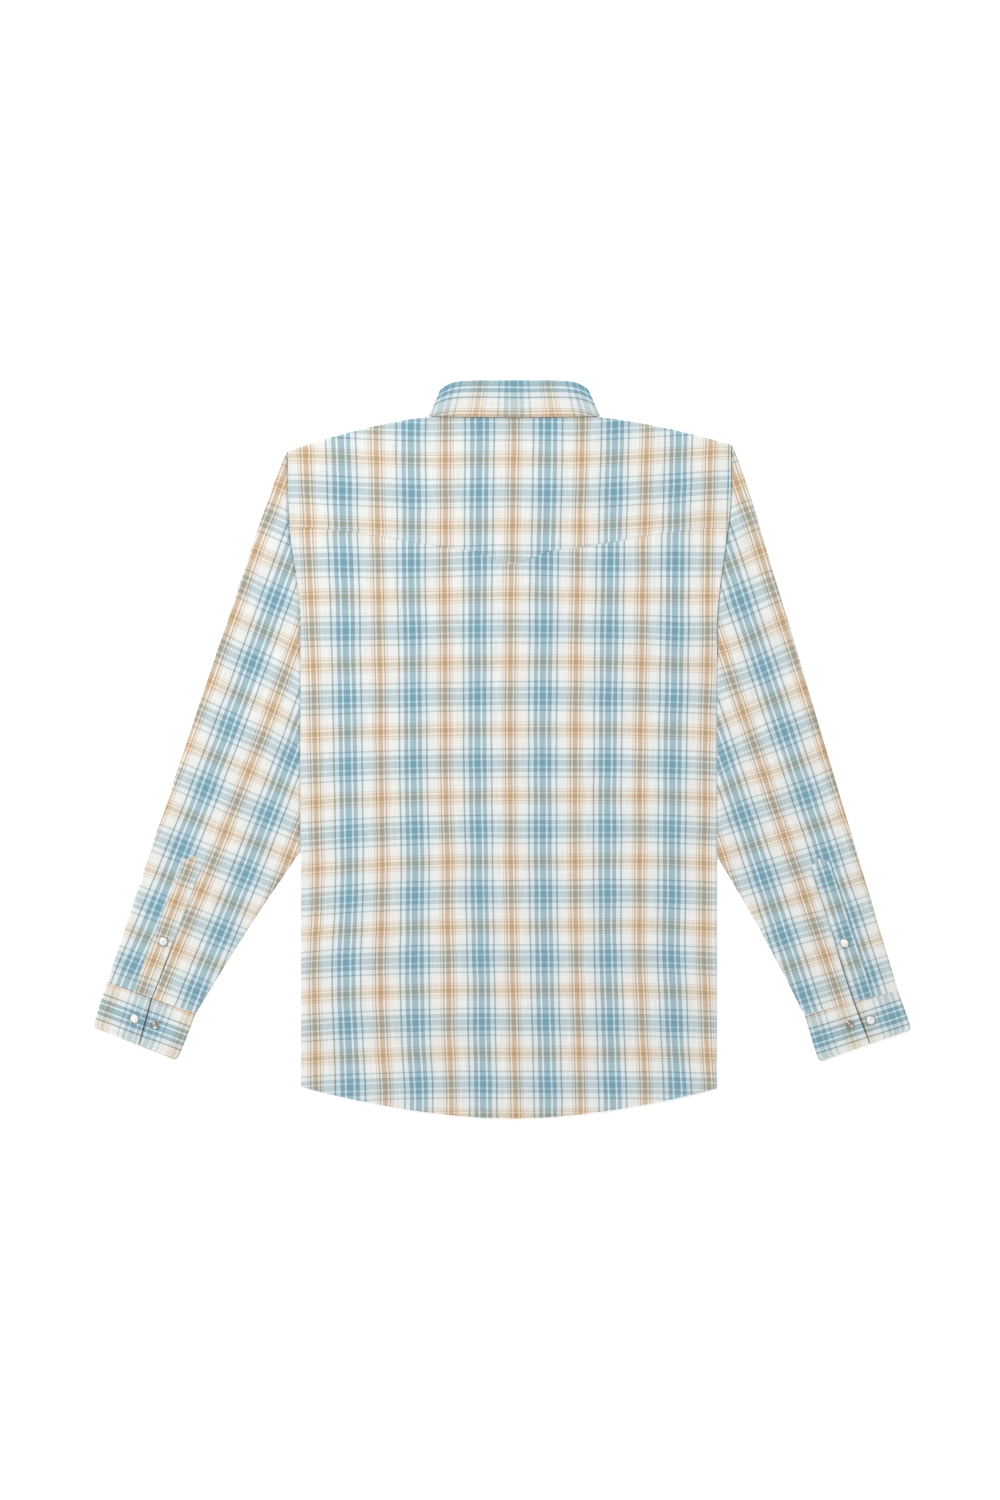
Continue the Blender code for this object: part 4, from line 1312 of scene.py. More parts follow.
@dataclass
class Arm:
    """One sleeve with its placket and its cuff."""

    tailor: Tailor
    body: Body
    side: Side
    top: float = 4.3
    ease: float = 20.0
    armpit_down: float = 280.0
    head: float = 4.5
    head_share: float = 0.03
    underarm_hollow: float = 2.5
    shoulder_step: float = 1.0      # how much lower the sleeve's fold starts than the body's
    tuck: float = 3.0               # how far the sleeve head reaches under the body's edge
    tuck_depth: float = 2.8         # how much lower it lies there
    tuck_ease: float = 6.5          # over how far it comes up again
    tuck_share: float = 0.02        # share of the sleeve's length that the tuck fades over
    tuck_ends: Pair = (-20.0, 0.0)  # how far down from the armpit the tuck ends
    dip_ends: Pair = (-20.0, 10.0)  # and the lower ground beside it
    fold_margin: float = 16.0       # creases fade this near the body
    under_shift: Pair = (14.0, -26.0)   # from the upper run's creases to the lower run's
    under_share: float = 0.7        # the lower run's height as a share of the upper's
    lip_angle: float = 4.0          # degrees round the ring over which a slit's lip stands aside
    slit_half: float = 0.8
    slit_rise: float = 0.86
    slit_ease: float = 0.06
    slit_spread: float = 0.5
    slit_sight: float = 0.7
    cuff_top: float = 5.0
    cuff_under: float = 0.6
    cuff_lap: float = 0.25          # how far the cuff reaches over the end of the sleeve
    cuff_corner: float = 5.0
    cuff_pitch: float = 65.0        # repeat of the plaid up the cuff
    cuff_weft_pitch: float = 68.0   # and round the wrist
    placket_length: float = 163.0
    placket_width: float = 22.0
    placket_point: float = 8.0
    placket_slant: float = -0.6
    placket_crown: float = 0.4      # how much higher the placket's middle lies than its edges
    placket_row: float = 1.6        # from the placket's edge to its stitches
    cuff_rows: Pair = (3.0, 5.5)    # from the cuff's seam, and from its edge, to its stitches
    row_angles: tuple[Pair, Pair] = ((94.0, 166.0), (374.0, 446.0))

    # Outlines, as (out, down)

    def outer(self, along: Array) -> tuple[Array, Array]:
        """Outer fold of the sleeve: a straight line to the cuff with a fuller sleeve head.

        Args:
            along: Share of the way down the sleeve.

        Returns:
            How far out and how far down.
        """
        side = self.side
        tip = side.shoulder_half + GAP, side.shoulder_drop + self.shoulder_step
        head = self.head * (1.0 - np.exp(-along / self.head_share)) * (1.0 - along)
        out = mix(tip[0], side.seam_out[0], along) + head - SHIRTING / 2
        return out, mix(tip[1], side.seam_out[1], along)

    def inner(self, along: Array) -> tuple[Array, Array]:
        """Underarm fold of the sleeve: beside the body from the armpit, then away to the cuff.

        Args:
            along: Share of the way down the sleeve.

        Returns:
            How far out and how far down.
        """
        side = self.side
        beside = side.side_half + GAP + SHIRTING / 2
        seam = side.seam_in[0] + SHIRTING / 2, side.seam_in[1]
        share = self.underarm_share()
        free = np.clip((along - share) / (1.0 - share), 0.0, 1.0)
        hollow = self.underarm_hollow * np.sin(np.pi * free)
        down = mix(self.armpit_down, side.leaves_body, np.minimum(along / share, 1.0))
        return mix(beside, seam[0], free) + hollow, mix(down, seam[1], free)

    def underarm_share(self) -> float:
        """Share of the underarm fold that lies beside the body."""
        side = self.side
        beside = side.leaves_body - self.armpit_down
        free = math.dist((side.side_half + GAP, side.leaves_body), side.seam_in)
        return beside / (beside + free)

    def slit_share(self, along: Array) -> Array:
        """Share of the way out across the sleeve where the slit's line lies.

        Args:
            along: Share of the way down the sleeve.

        Returns:
            The share, 0 at the underarm fold and 1 at the outer fold.
        """
        high, seam, _ = self.side.slit_shares
        above = mix(0.5, high, smooth(along / self.slit_sight))
        below = mix(high, seam, (along - self.slit_sight) / (1.0 - self.slit_sight))
        return np.where(along < self.slit_sight, above, below)

    def ring_share(self, angle: Array, slit_at: Array, opening: Array) -> Array:
        """Share of the way out across a flattened ring for an angle round it.

        It is an even cosine, shifted so that 90 degrees lies at the slit, whose two lips stand
        aside by the opening.

        Args:
            angle: Degrees round the ring, from 90 at one lip to 450 at the other.
            slit_at: The slit's own share.
            opening: How far each lip stands aside, as a share of the width.

        Returns:
            The share, 0 at the underarm fold and 1 at the outer fold.
        """
        even = (1.0 + cosine(angle)) / 2
        shifted = even + (slit_at - 0.5) * 4.0 * even * (1.0 - even)
        lips = bell((angle - 450.0) / self.lip_angle) - bell((angle - 90.0) / self.lip_angle)
        return shifted + lips * opening

    # Places

    def sleeve_height(self, angle: Array, out: Array, down: Array) -> Array:
        """Middle of the sleeve's cloth, with its creases on both runs and its dip at the armhole.

        Args:
            angle: Degrees round the ring.
            out: How far out.
            down: How far down.

        Returns:
            Heights in millimetres.
        """
        run = turn(angle, self.ease)
        level = mix(CAD_CLOTH / 2 - HUG, self.top + HUG, (1.0 + run) / 2)
        from_body = out - self.body.side_half(self.side.sign * out, down)
        dip = self.tuck_depth * (1.0 - smooth((from_body + self.tuck) / self.tuck_ease))
        dip = dip * (1.0 - between(down - self.armpit_down, self.dip_ends))
        aside, along = self.under_shift
        above = lifts(self.side.folds, out, down)
        below = self.under_share * np.maximum(lifts(self.side.folds[1:], out + aside, down + along), 0.0)
        clear = smooth(from_body / self.fold_margin)
        return level + np.maximum(run, 0.0) * (above * clear - dip) + np.maximum(-run, 0.0) * below * clear

    def sleeve(self, angle: Array, along: Array) -> Array:
        """A point of the sleeve tube, whose first ring lies under the edge of the armhole.

        Args:
            angle: Degrees round the ring.
            along: Share of the way down the sleeve.

        Returns:
            x, down and height of every point.
        """
        slit = self.slit_half * smooth((along - self.slit_rise) / self.slit_ease)
        outer, inner = self.outer(along), self.inner(along)
        width = np.hypot(outer[0] - inner[0], outer[1] - inner[1])
        share = self.ring_share(angle, self.slit_share(along), slit / width)
        out, down = mix(inner[0], outer[0], share), mix(inner[1], outer[1], share)
        beside = self.body.side_half(self.side.sign * out, down) + GAP
        reach = self.tuck * np.sqrt(np.maximum(sine(angle), 0.0)) * bell(along / self.tuck_share)
        limit = beside - reach * (1.0 - between(down - self.armpit_down, self.tuck_ends))
        out = np.where(along < 1e-4, limit, np.maximum(out, limit))
        return stacked(self.side.sign * out, down, self.sleeve_height(angle, out, down))

    def sleeve_bolt(self, angle: Array, along: Array) -> Array:
        """The sleeve's place on the bolt, carried round the outer fold to the lower run.

        Args:
            angle: Degrees round the ring.
            along: Share of the way down the sleeve.

        Returns:
            Distances across and along the warp.
        """
        x, down = plan(self.sleeve(angle, along))
        inwards, length = self.side.lay.local(np.abs(x), down)
        on_top = self.side.lay.bolt(inwards, length)
        fold, _ = self.side.lay.local(*self.outer(along))
        beyond = self.side.lay.bolt(2.0 * fold - inwards, length)
        return np.where((sine(angle) >= 0.0)[..., None], on_top, beyond)

    def cuff_share(self, angle: Array, along: Array) -> Array:
        """Share of the way out across the cuff for an angle round it."""
        slit_at = mix(self.side.slit_shares[1], self.side.slit_shares[2], along)
        width = math.dist(self.side.seam_out, self.side.seam_in)
        return self.ring_share(angle, slit_at, (self.slit_half + self.slit_spread * along) / width)

    def cuff(self, angle: Array, along: Array) -> Array:
        """A point of the cuff, a band open at the slit with rounded lower corners.

        Args:
            angle: Degrees round the ring.
            along: Share of the way from the cuff's seam to its edge.

        Returns:
            x, down and height of every point.
        """
        side = self.side
        depth = math.dist(side.seam_out, side.edge_out)
        share = mix(-self.cuff_lap / depth, 1.0, along)
        outer = [mix(seam, edge, share) for seam, edge in zip(side.seam_out, side.edge_out)]
        inner = [mix(seam, edge, share) for seam, edge in zip(side.seam_in, side.edge_in)]
        into_corner = np.maximum(0.0, self.cuff_corner - (1.0 - along) * depth)
        inset = self.cuff_corner - np.sqrt(self.cuff_corner ** 2 - into_corner ** 2) + LINED / 2
        part = inset / np.hypot(outer[0] - inner[0], outer[1] - inner[1])
        around = mix(part, 1.0 - part, self.cuff_share(angle, along))
        out, down = mix(inner[0], outer[0], around), mix(inner[1], outer[1], around)
        height = mix(self.cuff_under, self.cuff_top, (1.0 + turn(angle, self.ease)) / 2)
        return stacked(side.sign * out, down, height)

    def cuff_bolt(self, angle: Array, along: Array) -> Array:
        """The cuff's place on the bolt: warp round the wrist, measured up from the cuff's edge.

        Args:
            angle: Degrees round the ring.
            along: Share of the way from the cuff's seam to its edge.

        Returns:
            Distances across and along the warp.
        """
        side, lay = self.side, self.side.cuff_lay
        width = math.dist(side.seam_out, side.seam_in)
        share = self.cuff_share(angle, along)
        depths = math.dist(side.seam_in, side.edge_in), math.dist(side.seam_out, side.edge_out)
        warp = mix(*lay.blue_up, share) - (1.0 - along) * mix(*depths, share)
        near_inner = width * share - lay.inner_blue
        near_outer = width * (1.0 - share) - lay.outer_blue
        weft = np.where(angle <= 180.0, near_inner, near_outer)
        return stacked(warp * REPEAT / self.cuff_pitch, weft * REPEAT / self.cuff_weft_pitch)

    def slit_frame(self) -> tuple[Pair, Pair, Pair]:
        """The slit's foot on the cuff seam, and unit steps up the sleeve and out from the slit."""
        side = self.side
        high_share, seam_share, _ = side.slit_shares
        foot = tuple(mix(inner, outer, seam_share) for inner, outer in zip(side.seam_in, side.seam_out))
        sight = np.array(self.slit_sight)
        ends = zip(self.inner(sight), self.outer(sight))
        high = tuple(float(mix(inner, outer, high_share)) for inner, outer in ends)
        length = math.dist(foot, high)
        up = (high[0] - foot[0]) / length, (high[1] - foot[1]) / length
        return foot, up, (-up[1], up[0])

    def placket_up(self, across: Array, row: Array) -> Array:
        """Distance up from the cuff seam of a place on the sleeve placket, which ends in a point."""
        low = GAP + self.placket_slant * across
        point = self.placket_point * np.abs(2.0 * across - 1.0)
        return mix(low, self.placket_length - point, row)

    def sleeve_placket(self, across: Array, row: Array) -> Array:
        """The sleeve placket, a strip with a pointed top that lies on the sleeve.

        Args:
            across: Share of the way out from the slit.
            row: Share of the way up from the cuff seam.

        Returns:
            x, down and height of every point.
        """
        foot, up, out = self.slit_frame()
        up_by = self.placket_up(across, row)
        out_by = self.placket_width * across
        x = self.side.sign * (foot[0] + up[0] * up_by + out[0] * out_by)
        down = foot[1] + up[1] * up_by + out[1] * out_by
        crown = self.placket_crown * (1.0 - (2.0 * across - 1.0) ** 4)
        level = self.top + CAD_CLOTH + GAP - self.placket_crown + crown
        return stacked(x, down, level)

    def sleeve_placket_bolt(self, across: Array, row: Array) -> Array:
        """The placket's place on the bolt, cut with its warp along it."""
        lay = self.side.placket_lay
        weft = (self.placket_up(across, row) - lay.blue_up) / lay.pitch * REPEAT
        return stacked(self.placket_width * across - lay.blue_out, weft)

    def seams(self) -> list[Seam]:
        """Rows of stitches on the cuff and round the sleeve placket."""
        depth = math.dist(self.side.seam_out, self.side.edge_out)
        rows = []
        for along in (self.cuff_rows[0] / depth, 1.0 - self.cuff_rows[1] / depth):
            for ends in self.row_angles:
                angle = np.linspace(*ends, 120)
                rows.append(self.raised(self.cuff(angle, np.full(120, along)), LINED / 2))
        inset = self.placket_row / self.placket_width
        edge = 1.0 - self.placket_row / self.placket_length
        up = np.linspace(0.01, edge, 120)
        over = np.linspace(inset, 1.0 - inset, 24)
        around = np.concatenate([
            self.sleeve_placket(np.full(120, inset), up),
            self.sleeve_placket(over, np.full(24, edge)),
            self.sleeve_placket(np.full(120, 1.0 - inset), up[::-1]),
        ])
        rows.append(self.raised(around, BAND / 2))
        return rows

    @staticmethod
    def raised(points: Array, by: float) -> Seam:
        """A row of stitches on the upper face of a piece whose middle runs through these points."""
        return Seam(points + (0.0, 0.0, by), Facing.UP)

    def build(self) -> None:
        """Makes the sleeve, the cuff and the sleeve placket."""
        sew, name = self.tailor.sew, self.side.name
        down = self.side.sign < 0
        ring = np.arange(90.0, 450.1, 2.5)
        along = chain(steps(0.0, 1.0, 590.0), np.linspace(0.0, 0.03, 6), [self.slit_rise])
        sew(
            f"{name}_sleeve", Surface(self.sleeve, self.sleeve_bolt),
            ring, along, SHIRTING, Cut(0.40, 0.62, 0.124), faces_down=down,
        )
        sew(
            f"{name}_cuff", Surface(self.cuff, self.cuff_bolt),
            ring, chain(steps(0.0, 1.0, 50.0), closing(7, 0.12)), LINED,
            Cut(0.21, 0.051, 0.0105), faces_down=down,
        )
        sew(
            f"{name}_sleeve_placket", Surface(self.sleeve_placket, self.sleeve_placket_bolt),
            np.linspace(0.0, 1.0, 13), steps(0.0, 1.0, self.placket_length), BAND,
            Cut(0.022, 0.16, 0.0033), [f"{name}_sleeve_cloth"], faces_down=not down,
        )


# --- collar

@dataclass
class Collar:
    """Collar stand and leaf, folded over at the neck."""

    tailor: Tailor
    body: Body
    stand_fold_half: float = 78.5
    stand_front: float = 33.0
    leaf_fold_half: float = 82.4
    leaf_edge_half: float = 94.0
    fold_side_up: float = 25.7
    fold_rise: float = 10.6
    fold_power: int = 8
    fold_bump: float = 2.5
    stand_short: float = 0.8        # how far the stand ends below the fold line
    stand_height: float = 30.0
    leaf_side_up: float = 0.8
    leaf_edge_dip: float = 2.0
    stand_under_levels: Pair = (3.2, 3.7)
    stand_back_levels: Pair = (7.6, 9.8)
    leaf_back_levels: Pair = (12.9, 9.7)
    under_level: float = 0.8
    point: Pair = (42.0, 116.0)
    front_angle: float = 84.0
    leaf_bow: float = 9.0
    stand_lap: float = 2.1
    stand_laps_from: float = 60.0
    stand_lap_over: float = 15.0
    edge_row: float = 5.5           # from the leaf's edge to its stitches
    row_angles: tuple[tuple[float, float, Facing], ...] = (
        (18.0, 162.0, Facing.UP), (-78.0, -16.0, Facing.DOWN), (196.0, 258.0, Facing.DOWN),
    )
    blue_below_fold: float = 0.6    # from the fold line to the blue stripe along the leaf
    blue_across: float = 2.1        # the blue stripe that crosses the leaf by the centre back
    weft_pitch: float = 74.0

    def front_turn(self, angle: Array) -> Array:
        """Angle in radians round the front neck: 0 by the side folds, a quarter turn in front."""
        below = np.degrees(np.arcsin(np.clip(-sine(angle), 0.0, 1.0)))
        ease = self.body.collar_ease
        return quarter((below - ease) / (90.0 - ease))

    def across(self, angle: Array) -> Array:
        """Share of the collar's half width, held back on the lower run until the fold has turned.

        Args:
            angle: Degrees round the ring.

        Returns:
            The share, below 0 on the left.
        """
        plain = cosine(angle)
        ease = cosine(self.body.collar_ease)
        held = np.copysign(ease * np.cos(self.front_turn(angle)), plain)
        return np.where((sine(angle) >= 0.0) | (np.abs(plain) > ease), plain, held)

    def fold_line(self, angle: Array) -> Array:
        """Height above the nape of the collar's fold line.

        Args:
            angle: Degrees round the ring.

        Returns:
            Distances up from the nape in millimetres.
        """
        behind = self.fold_side_up + self.fold_rise * (1.0 - cosine(angle) ** self.fold_power)
        centre_front = self.stand_front - self.body.neck_drop
        before = mix(self.fold_side_up, centre_front, np.sin(self.front_turn(angle)))
        return np.where(sine(angle) >= 0.0, behind, before)

    def neck_line(self, angle: Array) -> Array:
        """Height above the nape of the neck seam."""
        rise = sine(angle)
        before = -self.body.neck_drop * np.sin(self.front_turn(angle))
        return np.where(rise >= 0.0, self.body.neck_back * rise, before)

    def leaf_edge(self, angle: Array) -> tuple[Array, Array]:
        """x and height above the nape of the leaf's outer edge, which ends in the front points.

        Args:
            angle: Degrees round the ring.

        Returns:
            x, and the distance up from the nape.
        """
        across, rise = self.across(angle), sine(angle)
        front = self.front_turn(angle) / float(self.front_turn(np.array(-self.front_angle)))
        beside = self.leaf_edge_half * cosine(self.body.collar_ease)
        bowed = mix(beside, self.point[0], front) + self.leaf_bow * np.sin(np.pi * front)
        out = np.where(front > 0.0, bowed, self.leaf_edge_half * np.abs(across))
        before = mix(self.leaf_side_up, -self.point[1], front)
        behind = self.leaf_side_up - self.leaf_edge_dip * rise
        return np.copysign(out, across), np.where(rise >= 0.0, behind, before)

    def roll_lean(self, angle: Array) -> Array:
        """How far the leaf's roll leans in towards the neck: square to the fold line in front."""
        below = np.arcsin(np.clip(-sine(angle), 0.0, 1.0))
        return np.minimum(4.0 * below, np.pi / 2 - self.front_turn(angle))

    def stand(self, angle: Array, rise: Array) -> Array:
        """The stand, from the neck seam at rise 0 to just short of the fold line at 1.

        Args:
            angle: Degrees round the ring.
            rise: Share of the way up from the neck seam.

        Returns:
            x, down and height of every point.
        """
        lean = self.roll_lean(angle)
        half = mix(self.body.neck_half, self.stand_fold_half + self.stand_short * np.sin(lean), rise)
        fold = self.fold_line(angle) - self.stand_short * np.cos(lean)
        up = mix(self.neck_line(angle), fold, rise)
        low, high = mix(*self.stand_under_levels, rise), mix(*self.stand_back_levels, rise)
        height = mix(low, high, (1.0 + turn(angle, self.body.collar_ease)) / 2)
        height += self.stand_lap * smooth((-self.stand_laps_from - angle) / self.stand_lap_over)
        return stacked(self.body.neck_x + half * self.across(angle), -up, height)

    def leaf(self, angle: Array, along: Array) -> Array:
        """The leaf: it rolls over the fold line (along 0 to 1), then falls (1 to 2).

        Args:
            angle: Degrees round the ring.
            along: 0 to 1 over the roll, and 1 to 2 down to the edge.

        Returns:
            x, down and height of every point.
        """
        edge_x, edge_up = self.leaf_edge(angle)
        roll = np.pi * np.minimum(along, 1.0)
        rolled = (1.0 - np.cos(roll)) / 2
        fallen = np.maximum(along - 1.0, 0.0)
        bump = self.fold_bump * np.sin(roll)
        lean = self.roll_lean(angle)
        half = mix(self.stand_fold_half, self.leaf_fold_half, rolled)
        inward = np.copysign(bump * np.sin(lean), cosine(angle))
        x = mix(half * self.across(angle) - inward, edge_x, fallen)
        up = mix(self.fold_line(angle) + bump * np.cos(lean), edge_up, fallen)
        back = mix(self.stand_back_levels[1], self.leaf_back_levels[0], rolled)
        high = mix(back, self.leaf_back_levels[1], fallen)
        low = mix(self.stand_under_levels[1], self.under_level, rolled)
        height = mix(low, high, (1.0 + turn(angle, self.body.collar_ease)) / 2)
        return stacked(self.body.neck_x + x, -up, height)

    def around(self, angle: Array) -> Array:
        """Distance round the collar's fold line from the centre back, in millimetres.

        Args:
            angle: Degrees round the ring.

        Returns:
            The distance, below 0 on the left.
        """
        fine = np.linspace(-100.0, 280.0, 761)
        x = self.leaf_fold_half * self.across(fine)
        length = np.concatenate([[0.0], np.cumsum(np.hypot(np.diff(x), np.diff(self.fold_line(fine))))])
        return np.interp(90.0, fine, length) - np.interp(angle, fine, length)

    def leaf_bolt(self, angle: Array, along: Array) -> Array:
        """The leaf's place on the bolt: warp along the collar, a blue stripe by its fold.

        Args:
            angle: Degrees round the ring.
            along: 0 to 1 over the roll, and 1 to 2 down to the edge.

        Returns:
            Distances across and along the warp.
        """
        edge_x, edge_up = self.leaf_edge(angle)
        fold_x = self.leaf_fold_half * self.across(angle)
        deep = np.hypot(edge_x - fold_x, self.fold_line(angle) - edge_up)
        rolled = self.fold_bump * 2.0 * np.minimum(along - 1.0, 0.0)
        warp = np.maximum(along - 1.0, 0.0) * deep + rolled - self.blue_below_fold
        weft = (self.around(angle) - self.blue_across + self.body.neck_x) * REPEAT / self.weft_pitch
        return stacked(warp, weft)

    def stand_bolt(self, angle: Array, rise: Array) -> Array:
        """The stand's place on the bolt, with its warp along the collar."""
        return stacked(rise * self.stand_height, self.around(angle))

    def seams(self) -> list[Seam]:
        """Rows of stitches inside the leaf's edge, behind and on both front points."""
        rows = []
        inside = self.edge_row / (self.fold_side_up + self.fold_rise)
        for first, last, facing in self.row_angles:
            angle = np.linspace(first, last, 160)
            points = self.leaf(angle, np.full(160, 2.0 - inside))
            rows.append(Seam(points + (0.0, 0.0, facing.value * LINED / 2), facing))
        return rows

    def build(self) -> None:
        """Makes the stand and the leaf."""
        turned = math.degrees(math.acos(self.body.placket_edge()))
        reach = 180.0 - mix(self.body.collar_ease, 90.0, turned / 90.0)
        self.tailor.sew(
            "collar_stand", Surface(self.stand, self.stand_bolt),
            np.linspace(-reach, 180.0 + reach, 241), np.linspace(0.0, 1.0, 10), LINED,
            Cut(0.44, 0.034, 0.013), faces_down=True,
        )
        self.tailor.sew(
            "collar_leaf", Surface(self.leaf, self.leaf_bolt),
            np.linspace(-self.front_angle, 180.0 + self.front_angle, 241),
            chain(np.linspace(0.06, 1.0, 10), np.linspace(1.0, 2.0, 12)), LINED,
            Cut(0.42, 0.06, 0.0175), ["back_yoke_cloth"], faces_down=True,
        )


# --- finishes

def linear(colour: str) -> tuple[float, float, float, float]:
    """Turns an sRGB hex colour into linear red, green, blue and alpha."""
    parts = np.array([int(colour[start:start + 2], 16) for start in (0, 2, 4)]) / 255.0
    straight = np.where(parts <= 0.04045, parts / 12.92, ((parts + 0.055) / 1.055) ** 2.4)
    return (*straight.tolist(), 1.0)


def add_node(tree: Tree, kind: str, sockets: dict | None = None, **settings: object) -> Node:
    """Adds a node to a material.

    Args:
        tree: The material's node tree.
        kind: Blender's name for the node.
        sockets: What each input gets: an output to link, or a value.
        settings: The node's own properties.

    Returns:
        The new node.
    """
    node = tree.nodes.new(kind)
    for name, value in settings.items():
        setattr(node, name, value)
    feed(tree, node, sockets or {})
    return node


def feed(tree: Tree, node: Node, sockets: dict) -> None:
    """Gives each of these inputs of a node an output to link, or a value.

    Args:
        tree: The material's node tree.
        node: The node.
        sockets: What each input gets.
    """
    for socket, value in sockets.items():
        if isinstance(value, Socket):
            tree.links.new(value, node.inputs[socket])
        else:
            node.inputs[socket].default_value = value


def flow(tree: Tree, kind: str, sockets: dict | None = None, **settings: object) -> Socket:
    """Adds a node and returns its first output."""
    return add_node(tree, kind, sockets, **settings).outputs[0]


def noise(tree: Tree, place: Socket, size: float, detail: float, distortion: float = 0.0) -> Node:
    """Adds noise whose spots are about this many millimetres wide."""
    sockets = {"Vector": place, "Scale": 1.0 / (size * MM), "Detail": detail, "Distortion": distortion}
    return add_node(tree, "ShaderNodeTexNoise", sockets)


def ranged(tree: Tree, value: Socket, *limits: float) -> Socket:
    """Carries a value from between the first two limits to between the last two."""
    return flow(tree, "ShaderNodeMapRange", {"Value": value, **dict(enumerate(limits, 1))})


def two_tone(tree: Tree, share: Socket, first: str, second: str) -> Socket:
    """Mixes two hex colours."""
    sockets = {"Factor": share, 6: linear(first), 7: linear(second)}
    return add_node(tree, "ShaderNodeMix", sockets, data_type="RGBA").outputs[2]


def new_material(name: str) -> tuple[Finish, Tree, Node]:
    """Makes a material with a Principled shader and returns both, with the tree between."""
    material = bpy.data.materials.new(name)
    material.use_nodes = True
    return material, material.node_tree, material.node_tree.nodes["Principled BSDF"]


@dataclass(frozen=True)
class Stripe:
    """A band of the sett: its width in millimetres, and its colours in warp and in weft."""

    width: float
    warp: str
    weft: str


